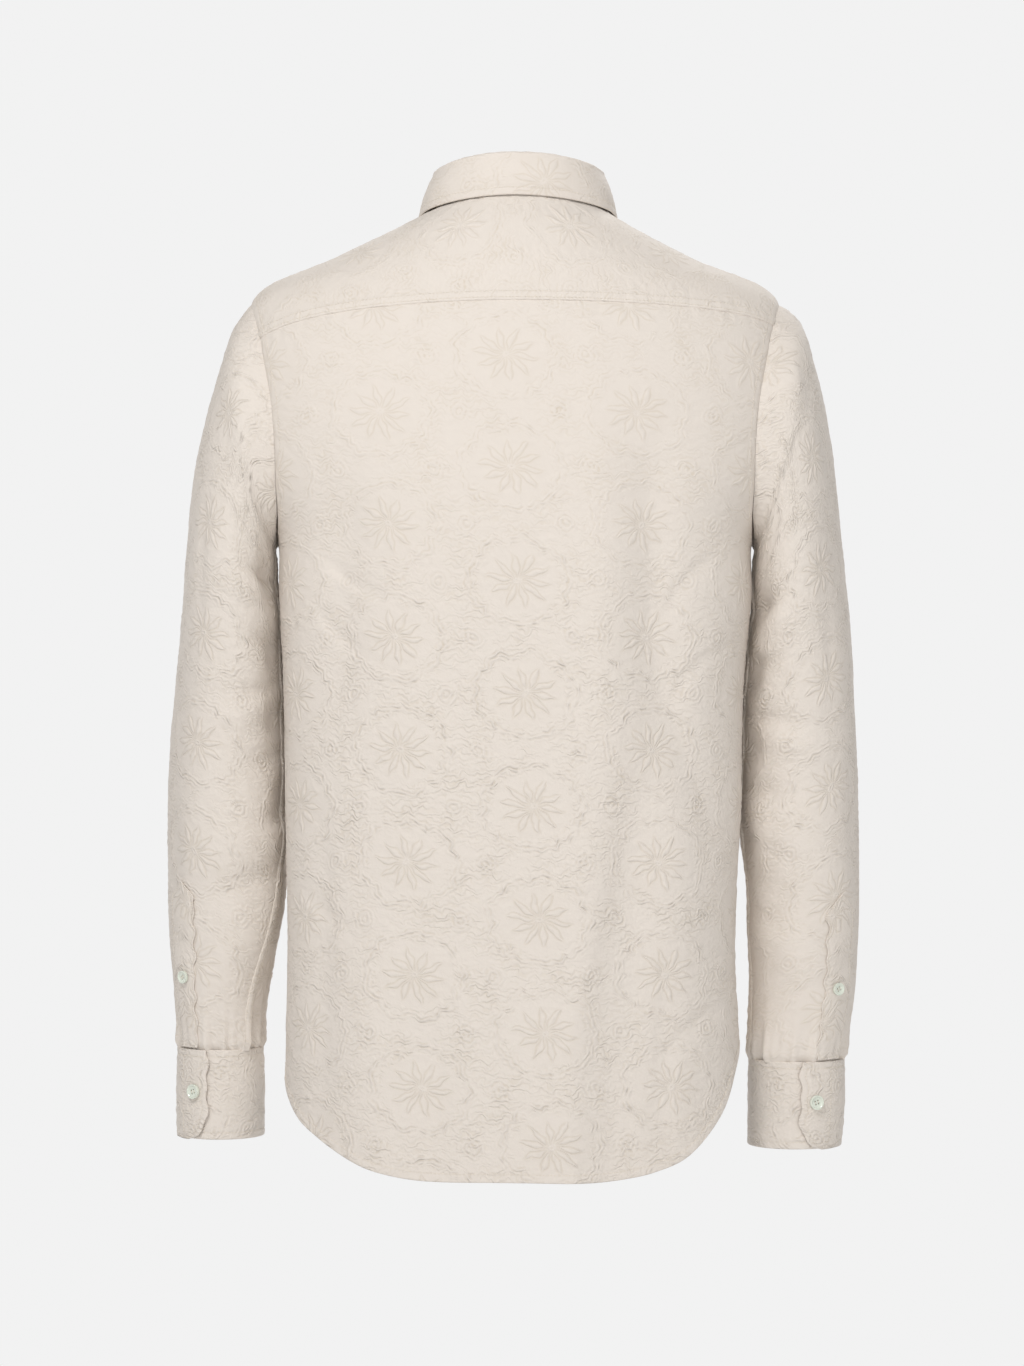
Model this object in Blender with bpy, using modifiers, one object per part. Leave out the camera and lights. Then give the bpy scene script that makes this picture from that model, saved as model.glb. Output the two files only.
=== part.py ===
# An embroidered long-sleeved shirt, worn and hollow, standing in the shape of its wearer.
# Metres, +Z up. The front faces -Y and the wearer's left is +X.
# The origin is the middle of the neck's base, where the wearer's shoulders carry the shirt.
import math

import bmesh
import bpy
import numpy as np
from mathutils import Vector
from mathutils.geometry import delaunay_2d_cdt

# Cloth and make
WALL = 0.0020            # puffed cloth, one layer
BAND = 0.0020            # collar, cuffs and plackets, two layers and interlining
SEAM = 0.0003            # gap between two pieces at a seam
FACET = 0.035            # height of a facet of the cloth

# The puffed flowers of the cloth
FLOWER_ACROSS = 0.099    # from one column of flowers to the next
FLOWER_UP = 0.0865       # from flower to flower in a column
GRAIN_LEAN = 0.06        # how far the columns lean off the upright
PETALS = 10
PETAL_TIP = 0.030        # radius of the flower
PETAL_VALLEY = 0.021     # radius where two petals part
PETAL_CREST = 0.0185     # radius of a petal's highest point
PETAL_HEIGHT = 0.0013
EYE_HEIGHT = 0.0003

# Places on the body
SIDE_SEAM = math.radians(95)
NECK_LEVEL = 0.022
ARMPIT_LEVEL = -0.249
SHOULDER_LEVEL = -0.075
ARMHOLE_BACK = math.radians(32)
ARMHOLE_FRONT = math.radians(36)
SLEEVE_START = 0.993     # the sleeve's edge, as a share of the armhole's size
YOKE_NECK_ANGLE = math.radians(113)
YOKE_FRONT_TURN = math.radians(205)
YOKE_BACK_LEVEL = -0.068
YOKE_DROP_LEFT = 0.031
YOKE_DROP_RIGHT = 0.020
FRONT_MEET = 0.0155      # where the two fronts meet under the placket
PLACKET_HALF = 0.0185    # half the width of the front placket


def table(names, rows):
    """Rows under named columns, as one array for each column."""
    return dict(zip(names.split(), np.array(rows, float).T))


# One ring of the body for each level, which is its height at the centre back.
BODY = table(
    "level   z_side   z_front  left    right   back    front   square",
    [
        (-0.780, -0.780, -0.780, 0.1810, 0.1780, 0.1110, 0.1110, 2.25),
        (-0.660, -0.660, -0.660, 0.1810, 0.1770, 0.1090, 0.1110, 2.25),
        (-0.560, -0.560, -0.560, 0.1795, 0.1735, 0.1075, 0.1120, 2.25),
        (-0.460, -0.460, -0.460, 0.1812, 0.1782, 0.1085, 0.1140, 2.25),
        (-0.360, -0.360, -0.360, 0.1828, 0.1805, 0.1125, 0.1180, 2.25),
        (-0.290, -0.290, -0.290, 0.1860, 0.1866, 0.1155, 0.1210, 2.30),
        (-0.249, -0.249, -0.249, 0.1870, 0.1870, 0.1170, 0.1220, 2.30),
        (-0.200, -0.200, -0.207, 0.2040, 0.2040, 0.1160, 0.1210, 2.30),
        (-0.150, -0.148, -0.168, 0.2140, 0.2140, 0.1130, 0.1180, 2.25),
        (-0.105, -0.096, -0.134, 0.2160, 0.2160, 0.1080, 0.1140, 2.10),
        (-0.068, -0.056, -0.106, 0.2040, 0.2040, 0.1010, 0.1070, 1.90),
        (-0.020, -0.026, -0.073, 0.1400, 0.1370, 0.0860, 0.0950, 1.85),
        (0.003, -0.006, -0.058, 0.0965, 0.0975, 0.0730, 0.0840, 1.95),
        (0.022, 0.012, -0.045, 0.0585, 0.0660, 0.0570, 0.0690, 2.05),
    ],
)

# Hem height round the back half and the front half, by angle from the centre.
HEM = table(
    "angle  back_left  back_right  front_left  front_right",
    [
        (0, -0.743, -0.743, -0.726, -0.726),
        (25, -0.741, -0.742, -0.724, -0.724),
        (35, -0.735, -0.737, -0.719, -0.719),
        (46, -0.724, -0.727, -0.709, -0.708),
        (56, -0.713, -0.710, -0.697, -0.694),
        (66, -0.702, -0.690, -0.684, -0.677),
        (76, -0.688, -0.664, -0.672, -0.660),
        (95, -0.664, -0.644, -0.664, -0.644),
    ],
)

# Long soft folds of the body: height and place of each point, then half width and depth.
BACK_FOLDS = [
    ([(-0.17, -0.106), (-0.27, -0.104), (-0.33, -0.106), (-0.39, -0.118), (-0.48, -0.152)], 0.026, -0.0055),
    ([(-0.24, -0.070), (-0.44, -0.062), (-0.57, -0.050), (-0.66, -0.040), (-0.80, -0.036)], 0.030, 0.0050),
    ([(-0.42, -0.098), (-0.57, -0.086), (-0.66, -0.080), (-0.80, -0.076)], 0.024, -0.0050),
    ([(-0.20, 0.134), (-0.30, 0.132), (-0.40, 0.144)], 0.024, -0.0035),
    ([(-0.55, 0.110), (-0.66, 0.112), (-0.80, 0.116)], 0.024, 0.0035),
    ([(-0.60, 0.066), (-0.68, 0.062), (-0.80, 0.056)], 0.022, -0.0030),
    ([(-0.30, -0.150), (-0.45, -0.128), (-0.60, -0.124)], 0.024, 0.0030),
]
FRONT_FOLDS = [
    ([(-0.20, 0.110), (-0.34, 0.100), (-0.48, 0.104)], 0.026, -0.0045),
    ([(-0.36, 0.064), (-0.55, 0.072), (-0.80, 0.078)], 0.028, 0.0045),
    ([(-0.18, -0.112), (-0.32, -0.098), (-0.46, -0.094)], 0.026, -0.0045),
    ([(-0.40, -0.130), (-0.58, -0.112), (-0.80, -0.104)], 0.026, 0.0045),
    ([(-0.50, -0.062), (-0.66, -0.066), (-0.80, -0.070)], 0.024, -0.0030),
]

# Rings of each sleeve: the outer and the under point of each, its middle and half depth.
SLEEVE_COLUMNS = "outer_x  outer_z  under_x  under_z  mid_y   depth"
SLEEVES = {
    "left": table(
        SLEEVE_COLUMNS,
        [
            (0.2225, -0.0830, 0.1905, -0.2555, -0.002, 0.0640),
            (0.2400, -0.1380, 0.1900, -0.2660, -0.004, 0.0640),
            (0.2535, -0.1950, 0.1882, -0.2840, -0.008, 0.0635),
            (0.2601, -0.2520, 0.1863, -0.3120, -0.012, 0.0630),
            (0.2647, -0.3050, 0.1846, -0.3500, -0.018, 0.0615),
            (0.2702, -0.3550, 0.1835, -0.3920, -0.024, 0.0600),
            (0.2758, -0.4100, 0.1828, -0.4360, -0.029, 0.0580),
            (0.2778, -0.4600, 0.1825, -0.4780, -0.033, 0.0560),
            (0.2773, -0.5100, 0.1829, -0.5180, -0.036, 0.0530),
            (0.2768, -0.5550, 0.1885, -0.5580, -0.038, 0.0490),
            (0.2738, -0.5900, 0.1935, -0.5900, -0.038, 0.0455),
            (0.2707, -0.6220, 0.1987, -0.6220, -0.038, 0.0425),
            (0.2687, -0.6400, 0.1997, -0.6400, -0.038, 0.0405),
            (0.2687, -0.6508, 0.1997, -0.6508, -0.038, 0.0400),
        ],
    ),
    "right": table(
        SLEEVE_COLUMNS,
        [
            (0.2235, -0.0750, 0.1905, -0.2555, -0.002, 0.0640),
            (0.2390, -0.1200, 0.1902, -0.2650, -0.004, 0.0640),
            (0.2500, -0.1720, 0.1888, -0.2820, -0.007, 0.0635),
            (0.2565, -0.2240, 0.1870, -0.3080, -0.011, 0.0630),
            (0.2626, -0.2760, 0.1836, -0.3400, -0.016, 0.0620),
            (0.2677, -0.3260, 0.1814, -0.3750, -0.022, 0.0605),
            (0.2702, -0.3780, 0.1805, -0.4100, -0.027, 0.0590),
            (0.2728, -0.4250, 0.1798, -0.4500, -0.031, 0.0570),
            (0.2743, -0.4720, 0.1808, -0.4880, -0.034, 0.0550),
            (0.2748, -0.5220, 0.1870, -0.5300, -0.036, 0.0520),
            (0.2743, -0.5660, 0.1870, -0.5700, -0.038, 0.0490),
            (0.2718, -0.6020, 0.1871, -0.6040, -0.038, 0.0465),
            (0.2672, -0.6340, 0.1861, -0.6350, -0.038, 0.0440),
            (0.2626, -0.6600, 0.1853, -0.6600, -0.038, 0.0430),
        ],
    ),
}

# Broad bends of the sleeves, each by turn round the arm in degrees, length down the arm, then
# their half widths both ways, slant and depth.
SLEEVE_FOLDS = {
    "left": [
        (55, 0.330, 60, 0.030, 0.030, 0.0040),
        (50, 0.410, 60, 0.030, 0.040, 0.0040),
        (150, 0.260, 30, 0.090, 0.000, -0.0030),
        (300, 0.380, 55, 0.032, -0.030, -0.0035),
    ],
    "right": [
        (55, 0.335, 60, 0.030, 0.040, 0.0040),
        (60, 0.415, 65, 0.030, 0.045, 0.0045),
        (140, 0.150, 30, 0.060, 0.040, -0.0030),
        (290, 0.375, 55, 0.032, -0.030, -0.0035),
    ],
}

# Collar
STAND_HEIGHT = 0.0240
STAND_OVERLAP = 0.0165   # how far each end of the band passes the centre front
STAND_LAP = 0.0032       # how far one end of the band lies over the other
STAND_LEAN_BACK = 0.0010 # how far its top leans out at the back
STAND_LEAN_FRONT = 0.0035  # how much less it leans out at the front
STAND_FRONT = 0.0030     # how much lower, and further forward, its top is at the front
FALL_WALL = 0.0016
FALL_END = 173           # degrees from the centre back to each end of the fall
FALL_TIP_LAG = math.radians(17)
FALL_START = -0.0018     # the fall's own face starts this far out from the stand's face
FALL_RISE = 0.0004       # and this far above its top edge
FALL_FOOT = 0.0008       # it stands upright for this much before it folds
FOLD_START = 0.03        # where its fold starts and ends, as shares of the fall
FOLD_END = 0.16
FALL_BELLY = 0.0022      # how far it swells between its fold and its edge
FOLD_RADIUS = 0.0026
FALL_OVER_END = 0.0022   # how much wider it folds over the band's lapped end
# Where the fall's lower edge lies on the body, by angle from the centre back.
FALL_EDGE = table(
    "angle  level    lift",
    [
        (0, 0.0150, 0.0040),
        (60, 0.0140, 0.0040),
        (90, 0.0140, 0.0040),
        (110, 0.0085, 0.0042),
        (130, -0.0040, 0.0044),
        (150, -0.0190, 0.0044),
        (173, -0.0300, 0.0044),
    ],
)

# Cuffs: rings from the seam down to the edge, and where the top layer ends.
CUFF_COLUMNS = "z  outer_x  under_x  mid_y  depth"
CUFFS = {
    "left": table(
        CUFF_COLUMNS,
        [
            (-0.6516, 0.2687, 0.1997, -0.038, 0.0405),
            (-0.6860, 0.2695, 0.1990, -0.038, 0.0415),
            (-0.7225, 0.2690, 0.1990, -0.038, 0.0415),
        ],
    ),
    "right": table(
        CUFF_COLUMNS,
        [
            (-0.6608, 0.2626, 0.1853, -0.038, 0.0432),
            (-0.6940, 0.2628, 0.1850, -0.038, 0.0434),
            (-0.7300, 0.2600, 0.1845, -0.038, 0.0430),
        ],
    ),
}
CUFF_EDGE = {"left": math.radians(104), "right": math.radians(92)}
CUFF_UNDER = math.radians(46)      # how far the under layer runs on beneath the top one
CUFF_CORNER = 0.020                # radius of the top layer's lower corner
PLACKET_EDGE = {"left": math.radians(117), "right": math.radians(109)}
PLACKET_WIDTH = 0.025
PLACKET_LENGTH = 0.118
PLACKET_POINT = 0.012
PLACKET_WALL = 0.0014
PLACKET_TOP = PLACKET_WALL + 0.00045   # height of its outer face over the sleeve's

FRONT_BAND_TOP = 0.0026            # height of the front placket's outer face over the fronts

# Buttons
BUTTON_THICK = 0.0026
FRONT_BUTTON = 0.0115
CUFF_BUTTON = 0.0115
PLACKET_BUTTON = 0.0100
PLACKET_BUTTON_UP = 0.057          # from the cuff's seam
FRONT_BUTTON_LEVELS = [-0.118, -0.207, -0.296, -0.385, -0.474, -0.563]


def smooth(x, knots, values):
    """A cubic curve through the values, which runs on straight past its ends."""
    knots, values = np.asarray(knots, float), np.asarray(values, float)
    if knots[0] > knots[-1]:
        knots, values = knots[::-1], values[::-1]
    x = np.asarray(x, float)
    slope = np.gradient(values, knots, axis=0)
    i = np.clip(np.searchsorted(knots, x) - 1, 0, len(knots) - 2)
    step = knots[i + 1] - knots[i]
    f = (x - knots[i]) / step
    g = np.clip(f, 0, 1)
    past = (f - g) * step
    tail = (-1,) + (1,) * (values.ndim - 1)
    grow = [np.reshape(part, np.shape(part) + tail[1:]) for part in (g, step, past)]
    g, step, past = grow
    end_slope = np.where(past > 0, slope[i + 1], slope[i])
    curve = (
        (2 * g**3 - 3 * g**2 + 1) * values[i]
        + (g**3 - 2 * g**2 + g) * step * slope[i]
        + (3 * g**2 - 2 * g**3) * values[i + 1]
        + (g**3 - g**2) * step * slope[i + 1]
    )
    return curve + past * end_slope


def ease(x):
    x = np.clip(x, 0, 1)
    return x * x * (3 - 2 * x)


def body_ring(angle, level):
    """The body with no folds. The angle runs from the centre back towards the wearer's left."""
    size = {name: smooth(level, BODY["level"], BODY[name]) for name in BODY if name != "level"}
    sine, cosine = np.sin(angle), np.cos(angle)
    power = 2 / size["square"]
    across = np.abs(sine) ** power
    along = np.abs(cosine) ** power
    x = np.where(sine > 0, size["left"], -size["right"]) * across
    y = np.where(cosine > 0, size["back"], -size["front"]) * along
    end = np.where(cosine > 0, level, size["z_front"])
    lean = np.abs(cosine) ** 1.5
    z = size["z_side"] + (end - size["z_side"]) * lean
    return np.stack([x, y, z], axis=-1)


def unit(v):
    return v / np.maximum(np.linalg.norm(v, axis=-1, keepdims=True), 1e-12)


def normals(surface, a, b, step_a, step_b):
    """The outward normals of surface(a, b)."""
    da = surface(a + step_a, b) - surface(a - step_a, b)
    db = surface(a, b + step_b) - surface(a, b - step_b)
    return unit(np.cross(db, da))


def fold_height(points, folds, reach):
    """How far soft folds push the cloth out at these points. reach fades them at the sides."""
    out = np.zeros(points.shape[:-1])
    for path, half_width, depth in folds:
        heights = np.array([p[0] for p in path])
        places = np.array([p[1] for p in path])
        centre = smooth(points[..., 2], heights, places)
        top, bottom = heights.max(), heights.min()
        ends = ease((top + 0.04 - points[..., 2]) / 0.09) * ease((points[..., 2] - bottom + 0.04) / 0.09)
        out += depth * ends * np.exp(-(((points[..., 0] - centre) / half_width) ** 2))
    return out * reach


def body(angle, level):
    """The outer face of the body."""
    angle, level = np.broadcast_arrays(np.asarray(angle, float), np.asarray(level, float))
    plain = body_ring(angle, level)
    out = normals(body_ring, angle, level, 0.01, 0.002)
    back = ease((np.cos(angle) - 0.05) * 3)
    front = ease((-np.cos(angle) - 0.05) * 3)
    push = fold_height(plain, BACK_FOLDS, back) + fold_height(plain, FRONT_FOLDS, front)
    return plain + out * push[..., None]


def angle_at(x, level):
    """The front angle at which the body has this x."""
    size = np.where(x > 0, smooth(level, BODY["level"], BODY["left"]), smooth(level, BODY["level"], BODY["right"]))
    square = smooth(level, BODY["level"], BODY["square"])
    return math.pi - np.sign(x) * np.arcsin((np.abs(x) / size) ** (square / 2))


def armhole(turn, size=1.0, side=1):
    """Angle and level of the armhole. turn is 0 at the armpit, 90 at the back and 180 on top."""
    middle = (ARMPIT_LEVEL + SHOULDER_LEVEL) / 2
    half = (SHOULDER_LEVEL - ARMPIT_LEVEL) / 2
    level = middle - size * half * np.cos(turn)
    centre = SIDE_SEAM + (math.pi / 2 - SIDE_SEAM) * (1 - np.cos(turn)) / 2
    sine = np.sin(turn)
    reach = np.where(sine > 0, ARMHOLE_BACK, ARMHOLE_FRONT)
    angle = centre - size * reach * np.sign(sine) * np.abs(sine) ** 0.9
    return side * angle, level


def sleeve_rings(side, turn):
    """The points of every ring of a sleeve at these turns, from the armhole down."""
    sign = 1 if side == "left" else -1
    rings = SLEEVES[side]
    first = body(*armhole(turn, SLEEVE_START, sign))
    outer = np.stack([sign * rings["outer_x"], rings["mid_y"], rings["outer_z"]], axis=-1)
    under = np.stack([sign * rings["under_x"], rings["mid_y"], rings["under_z"]], axis=-1)
    middle, half = (outer + under) / 2, (outer - under) / 2
    back = np.stack([0 * rings["depth"], rings["depth"], 0 * rings["depth"]], axis=-1)
    turn = np.asarray(turn, float)[..., None, None]
    later = middle - half * np.cos(turn) + back * np.sin(turn)
    return np.concatenate([first[..., None, :], later], axis=-2)


def sleeve_knots(side):
    """The length down the arm of each ring, measured along its middle."""
    rings = SLEEVES[side]
    x = np.concatenate([[0.196], (rings["outer_x"] + rings["under_x"]) / 2])
    z = np.concatenate([[-0.153], (rings["outer_z"] + rings["under_z"]) / 2])
    return np.concatenate([[0], np.cumsum(np.hypot(np.diff(x), np.diff(z)))])


def sleeve_plain(side, turn, length):
    knots = sleeve_knots(side)
    turn, length = np.broadcast_arrays(np.asarray(turn, float), np.asarray(length, float))
    points = sleeve_rings(side, turn)
    slope = np.gradient(points, knots, axis=-2)
    i = np.clip(np.searchsorted(knots, length) - 1, 0, len(knots) - 2)
    step = (knots[i + 1] - knots[i])[..., None]
    g = np.clip((length - knots[i])[..., None] / step, 0, 1)

    def at(values, index):
        return np.take_along_axis(values, index[..., None, None], axis=-2)[..., 0, :]

    return (
        (2 * g**3 - 3 * g**2 + 1) * at(points, i)
        + (g**3 - 2 * g**2 + g) * step * at(slope, i)
        + (3 * g**2 - 2 * g**3) * at(points, i + 1)
        + (g**3 - g**2) * step * at(slope, i + 1)
    )


def sleeve_out(side, turn, length):
    """Outward normals of a sleeve."""
    sign = 1 if side == "left" else -1
    end = sleeve_knots(side)[-1]
    length = np.clip(length, 0.002, end - 0.002)
    return -sign * normals(lambda a, b: sleeve_plain(side, a, b), turn, length, 0.01, 0.002)


def sleeve(side, turn, length):
    """The outer face of a sleeve. length runs down the arm from the armhole."""
    turn, length = np.broadcast_arrays(np.asarray(turn, float), np.asarray(length, float))
    push = np.zeros(turn.shape)
    for middle, down, wide, tall, slant, depth in SLEEVE_FOLDS[side]:
        off = (np.degrees(turn) - middle + 180) % 360 - 180
        along = length - down - slant * off / 90
        push = push + depth * np.exp(-((off / wide) ** 2) - (along / tall) ** 2)
    push = push * ease(length / 0.05)
    return sleeve_plain(side, turn, length) + sleeve_out(side, turn, length) * push[..., None]


class Face:
    """A surface of cloth: its points, its normals, and lengths along the cloth in both directions."""

    def __init__(self, points, out, low, high, centre, scale):
        self.points, self.out, self.scale = points, out, scale
        a = np.linspace(low[0], high[0], 161)
        b = np.linspace(low[1], high[1], 161)
        self.a, self.b = np.meshgrid(a, b, indexing="ij")
        grid = points(self.a, self.b)
        step_a = np.linalg.norm(np.diff(grid, axis=0), axis=-1)
        step_b = np.linalg.norm(np.diff(grid, axis=1), axis=-1)
        across = np.concatenate([np.zeros((1, b.size)), np.cumsum(step_a, axis=0)])
        up = np.concatenate([np.zeros((a.size, 1)), np.cumsum(step_b, axis=1)], axis=1)
        i = np.abs(a - centre[0]).argmin()
        j = np.abs(b - centre[1]).argmin()
        self.across = across - across[i]
        self.up = up - up[:, j][:, None]
        self.long_a = np.linalg.norm(np.gradient(grid, a, axis=0), axis=-1)
        self.long_b = np.linalg.norm(np.gradient(grid, b, axis=1), axis=-1)

    def place(self, across, up):
        """The nearest (a, b) to a place on the cloth, with its lengths for each unit of a and b."""
        gap = (self.across - across) ** 2 + (self.up - up) ** 2
        i, j = np.unravel_index(gap.argmin(), gap.shape)
        return self.a[i, j], self.b[i, j], self.long_a[i, j], self.long_b[i, j], gap[i, j] ** 0.5


def flower_points(face, inside, lay, bare):
    """The points and heights of every flower on a piece, and the lines that part its petals.

    lay is the place of one flower on the piece's cloth, how far the columns lean, and whether
    the cloth lies crosswise. bare lists runs of a and of b where no petal is raised."""
    spots, heights, lines = [], [], []
    for column in range(-7, 8):
        for row in range(-12, 13):
            across = column * FLOWER_ACROSS
            up = (row + column % 2 / 2) * FLOWER_UP
            if lay[3]:
                across, up = up, across
            across += up * lay[2]
            a, b, long_a, long_b, miss = face.place(across + lay[0], up + lay[1])
            if miss > 0.006 or not inside(np.array([[a, b]]), 0.030)[0]:
                continue
            flower = [(0.0, 0.0, EYE_HEIGHT)]
            for petal in range(PETALS):
                turn = 2 * math.pi * (petal + 0.25) / PETALS
                between = turn + math.pi / PETALS
                flower.append((PETAL_CREST * math.cos(turn), PETAL_CREST * math.sin(turn), PETAL_HEIGHT))
                flower.append((PETAL_VALLEY * math.cos(between), PETAL_VALLEY * math.sin(between), 0.0))
                flower.append((PETAL_TIP * math.cos(turn), PETAL_TIP * math.sin(turn), 0.0))
            places = np.array([(a + right / long_a, b + rise / long_b) for right, rise, height in flower])
            a_run, b_run = places[:, :1], places[:, 1:]
            low_a, high_a, low_b, high_b = np.array(bare).reshape(-1, 4).T
            covered = (a_run > low_a) & (a_run < high_a) & (b_run > low_b) & (b_run < high_b)
            if covered.any() or not inside(places, 0.006).all():
                continue
            first = len(spots)
            spots.extend(places)
            heights.extend(height for right, rise, height in flower)
            for petal in range(PETALS):
                valley, tip = first + 2 + 3 * petal, first + 3 + 3 * petal
                next_tip = first + 3 + 3 * ((petal + 1) % PETALS)
                lines.extend([(first, valley), (tip, valley), (valley, next_tip)])
    return np.array(spots).reshape(-1, 2), np.array(heights), lines


def inside_outline(outline, scale):
    """A test of whether places lie inside an outline, by at least a margin."""
    loop = outline * scale
    following = np.roll(loop, -1, axis=0)

    def test(places, margin):
        p = places * scale
        x, y = p[:, 0][:, None], p[:, 1][:, None]
        x0, y0, x1, y1 = loop[:, 0], loop[:, 1], following[:, 0], following[:, 1]
        crosses = ((y0 > y) != (y1 > y)) & (x < (x1 - x0) * (y - y0) / np.where(y1 == y0, 1e-12, y1 - y0) + x0)
        within = crosses.sum(axis=1) % 2 == 1
        span = following - loop
        share = ((x - x0) * span[:, 0] + (y - y0) * span[:, 1]) / np.maximum((span**2).sum(axis=1), 1e-15)
        share = np.clip(share, 0, 1)
        away = np.hypot(x - x0 - share * span[:, 0], y - y0 - share * span[:, 1]).min(axis=1)
        return within & (away >= margin)

    return test


def triangles(outline, scale, pitch, spots=None, lines=()):
    """A triangulation of an outline with its own grid, and with these spots and lines in it."""
    inside = inside_outline(outline, scale)
    low, high = (outline * scale).min(axis=0), (outline * scale).max(axis=0)
    rows = []
    for k, y in enumerate(np.arange(low[1] + pitch / 2, high[1], pitch * 0.87)):
        start = low[0] + pitch * (0.25 + 0.5 * (k % 2))
        rows += [(x, y) for x in np.arange(start, high[0], pitch)]
    grid = np.array(rows) / scale
    grid = grid[inside(grid, pitch * 0.42)]
    count = len(outline)
    if spots is not None and len(spots):
        metric = spots * scale
        away = np.array([np.hypot(*(metric - g * scale).T).min() for g in grid])
        grid = grid[away > 0.014]
        extra = np.concatenate([spots, grid])
    else:
        spots, extra = np.zeros((0, 2)), grid
    places = np.concatenate([outline, extra])
    edges = [(i, (i + 1) % count) for i in range(count)]
    edges += [(count + i, count + j) for i, j in lines]
    made = delaunay_2d_cdt([Vector(p) for p in places * scale], edges, [], 1, 1e-7)
    found, faces, origins = made[0], made[2], made[3]
    if any(len(o) != 1 for o in origins):
        raise ValueError("two points of a piece lie on each other")
    order = [o[0] for o in origins]
    faces = [[order[i] for i in f] for f in faces]
    return places, faces, len(spots)


def cloth_wall(name, face, outline, material, lay, bare, closes=0, facet=FACET, under=None):
    """A wall of cloth: petals raised on its outer face, and its inside plain.

    closes is the number of outline points on each of the two edges that a tube is joined at:
    they are the last ones before and the last ones of the outline. under are places on the
    outer face that a strip lies on."""
    inside = inside_outline(outline, face.scale)
    spots, heights, lines = flower_points(face, inside, lay, bare)
    if under is not None:
        spots = np.concatenate([spots, under])
        heights = np.concatenate([heights, np.zeros(len(under))])
    outer_places, outer_faces, spot_count = triangles(outline, face.scale, facet, spots, lines)
    inner_places, inner_faces, _ = triangles(outline, face.scale, facet)
    count = len(outline)
    raised = np.zeros(len(outer_places))
    raised[count:count + spot_count] = heights[:spot_count] if spot_count else 0
    out = face.out(outer_places[:, 0], outer_places[:, 1])
    outer = face.points(outer_places[:, 0], outer_places[:, 1]) + out * raised[:, None]
    into = face.out(inner_places[:, 0], inner_places[:, 1])
    inner = face.points(inner_places[:, 0], inner_places[:, 1]) - into * WALL
    return solid_between(name, outer, outer_faces, inner, inner_faces, count, closes, material)


def solid_between(name, outer, outer_faces, inner, inner_faces, count, closes, material):
    """Joins an outer and an inner face, whose first count points are their shared outline."""
    shift = len(outer)
    same = {}
    rim = [(i, (i + 1) % count) for i in range(count)]
    if closes:
        first = count - 2 * closes - (count - 2 * closes) // 2
        seam_up = list(range(first - 1, first + closes))
        seam_down = list(range(count - closes - 1, count)) + [0]
        seam_up = seam_up + [first + closes]
        for i, j in zip(seam_up, reversed(seam_down)):
            same[i] = j
        joined = set(zip(seam_up, seam_up[1:])) | set(zip(seam_down, seam_down[1:]))
        rim = [pair for pair in rim if pair not in joined]
    mesh = bmesh.new()
    points = [mesh.verts.new(p) for p in np.concatenate([outer, inner])]

    def face_of(indices):
        indices = [same.get(i, i) if i < shift else same.get(i - shift, i - shift) + shift for i in indices]
        if len(set(indices)) == len(indices):
            mesh.faces.new([points[i] for i in indices])

    for f in outer_faces:
        face_of(f)
    for f in inner_faces:
        face_of([i + shift for i in reversed(f)])
    for i, j in rim:
        face_of([j, i, i + shift])
        face_of([j, i + shift, j + shift])
    loose = [v for v in mesh.verts if not v.link_faces]
    bmesh.ops.delete(mesh, geom=loose, context="VERTS")
    bmesh.ops.recalc_face_normals(mesh, faces=mesh.faces)
    return finish(name, mesh, material)


def finish(name, mesh, material):
    """Makes an object of a bmesh, with its material."""
    data = bpy.data.meshes.new(name)
    mesh.to_mesh(data)
    mesh.free()
    obj = bpy.data.objects.new(name, data)
    collection.objects.link(obj)
    data.materials.append(material)
    return obj


def shell(name, points, thickness, middle, material):
    """A strip of cloth from a grid of points on its outer face, given its thickness inwards.

    middle is a point on the inner side of the strip."""
    rows, columns = points.shape[:2]
    mesh = bmesh.new()
    grid = [[mesh.verts.new(points[i, j]) for j in range(columns)] for i in range(rows)]
    for i in range(rows - 1):
        for j in range(columns - 1):
            mesh.faces.new([grid[i][j], grid[i][j + 1], grid[i + 1][j + 1], grid[i + 1][j]])
    mesh.normal_update()
    facing = sum((f.calc_center_median() - Vector(middle)).dot(f.normal) * f.calc_area() for f in mesh.faces)
    if facing < 0:
        bmesh.ops.reverse_faces(mesh, faces=mesh.faces)
    obj = finish(name, mesh, material)
    wall = obj.modifiers.new("thickness", "SOLIDIFY")
    wall.thickness = thickness
    wall.offset = -1
    wall.use_even_offset = True
    return obj


def hem_level(angle):
    """The hem's height at an angle from the centre back."""
    turn = np.degrees((angle + math.pi) % (2 * math.pi) - math.pi)
    left, away = turn > 0, np.abs(turn)
    front = away > np.degrees(SIDE_SEAM)
    place = np.where(front, 180 - away, away)
    stretch_front = np.where(front, place * 95 / 85, place)
    side = {name: smooth(stretch_front, HEM["angle"], HEM[name]) for name in HEM if name != "angle"}
    back = np.where(left, side["back_left"], side["back_right"])
    return np.where(front, np.where(left, side["front_left"], side["front_right"]), back)


def yoke_level(angle):
    """The yoke seam's height across the back."""
    drop = np.where(angle > 0, YOKE_DROP_LEFT, YOKE_DROP_RIGHT)
    return YOKE_BACK_LEVEL - drop * (np.abs(angle) / math.radians(66)) ** 2


def yoke_corner(side):
    """The armhole's turn where the yoke seam meets it at the back."""
    turns = np.radians(np.linspace(95, 175, 1601))
    angles, levels = armhole(turns, 1.0, side)
    return turns[np.abs(levels - yoke_level(angles)).argmin()]


ARMHOLE_TURNS = np.radians(np.arange(0, 361, 15))


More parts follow.
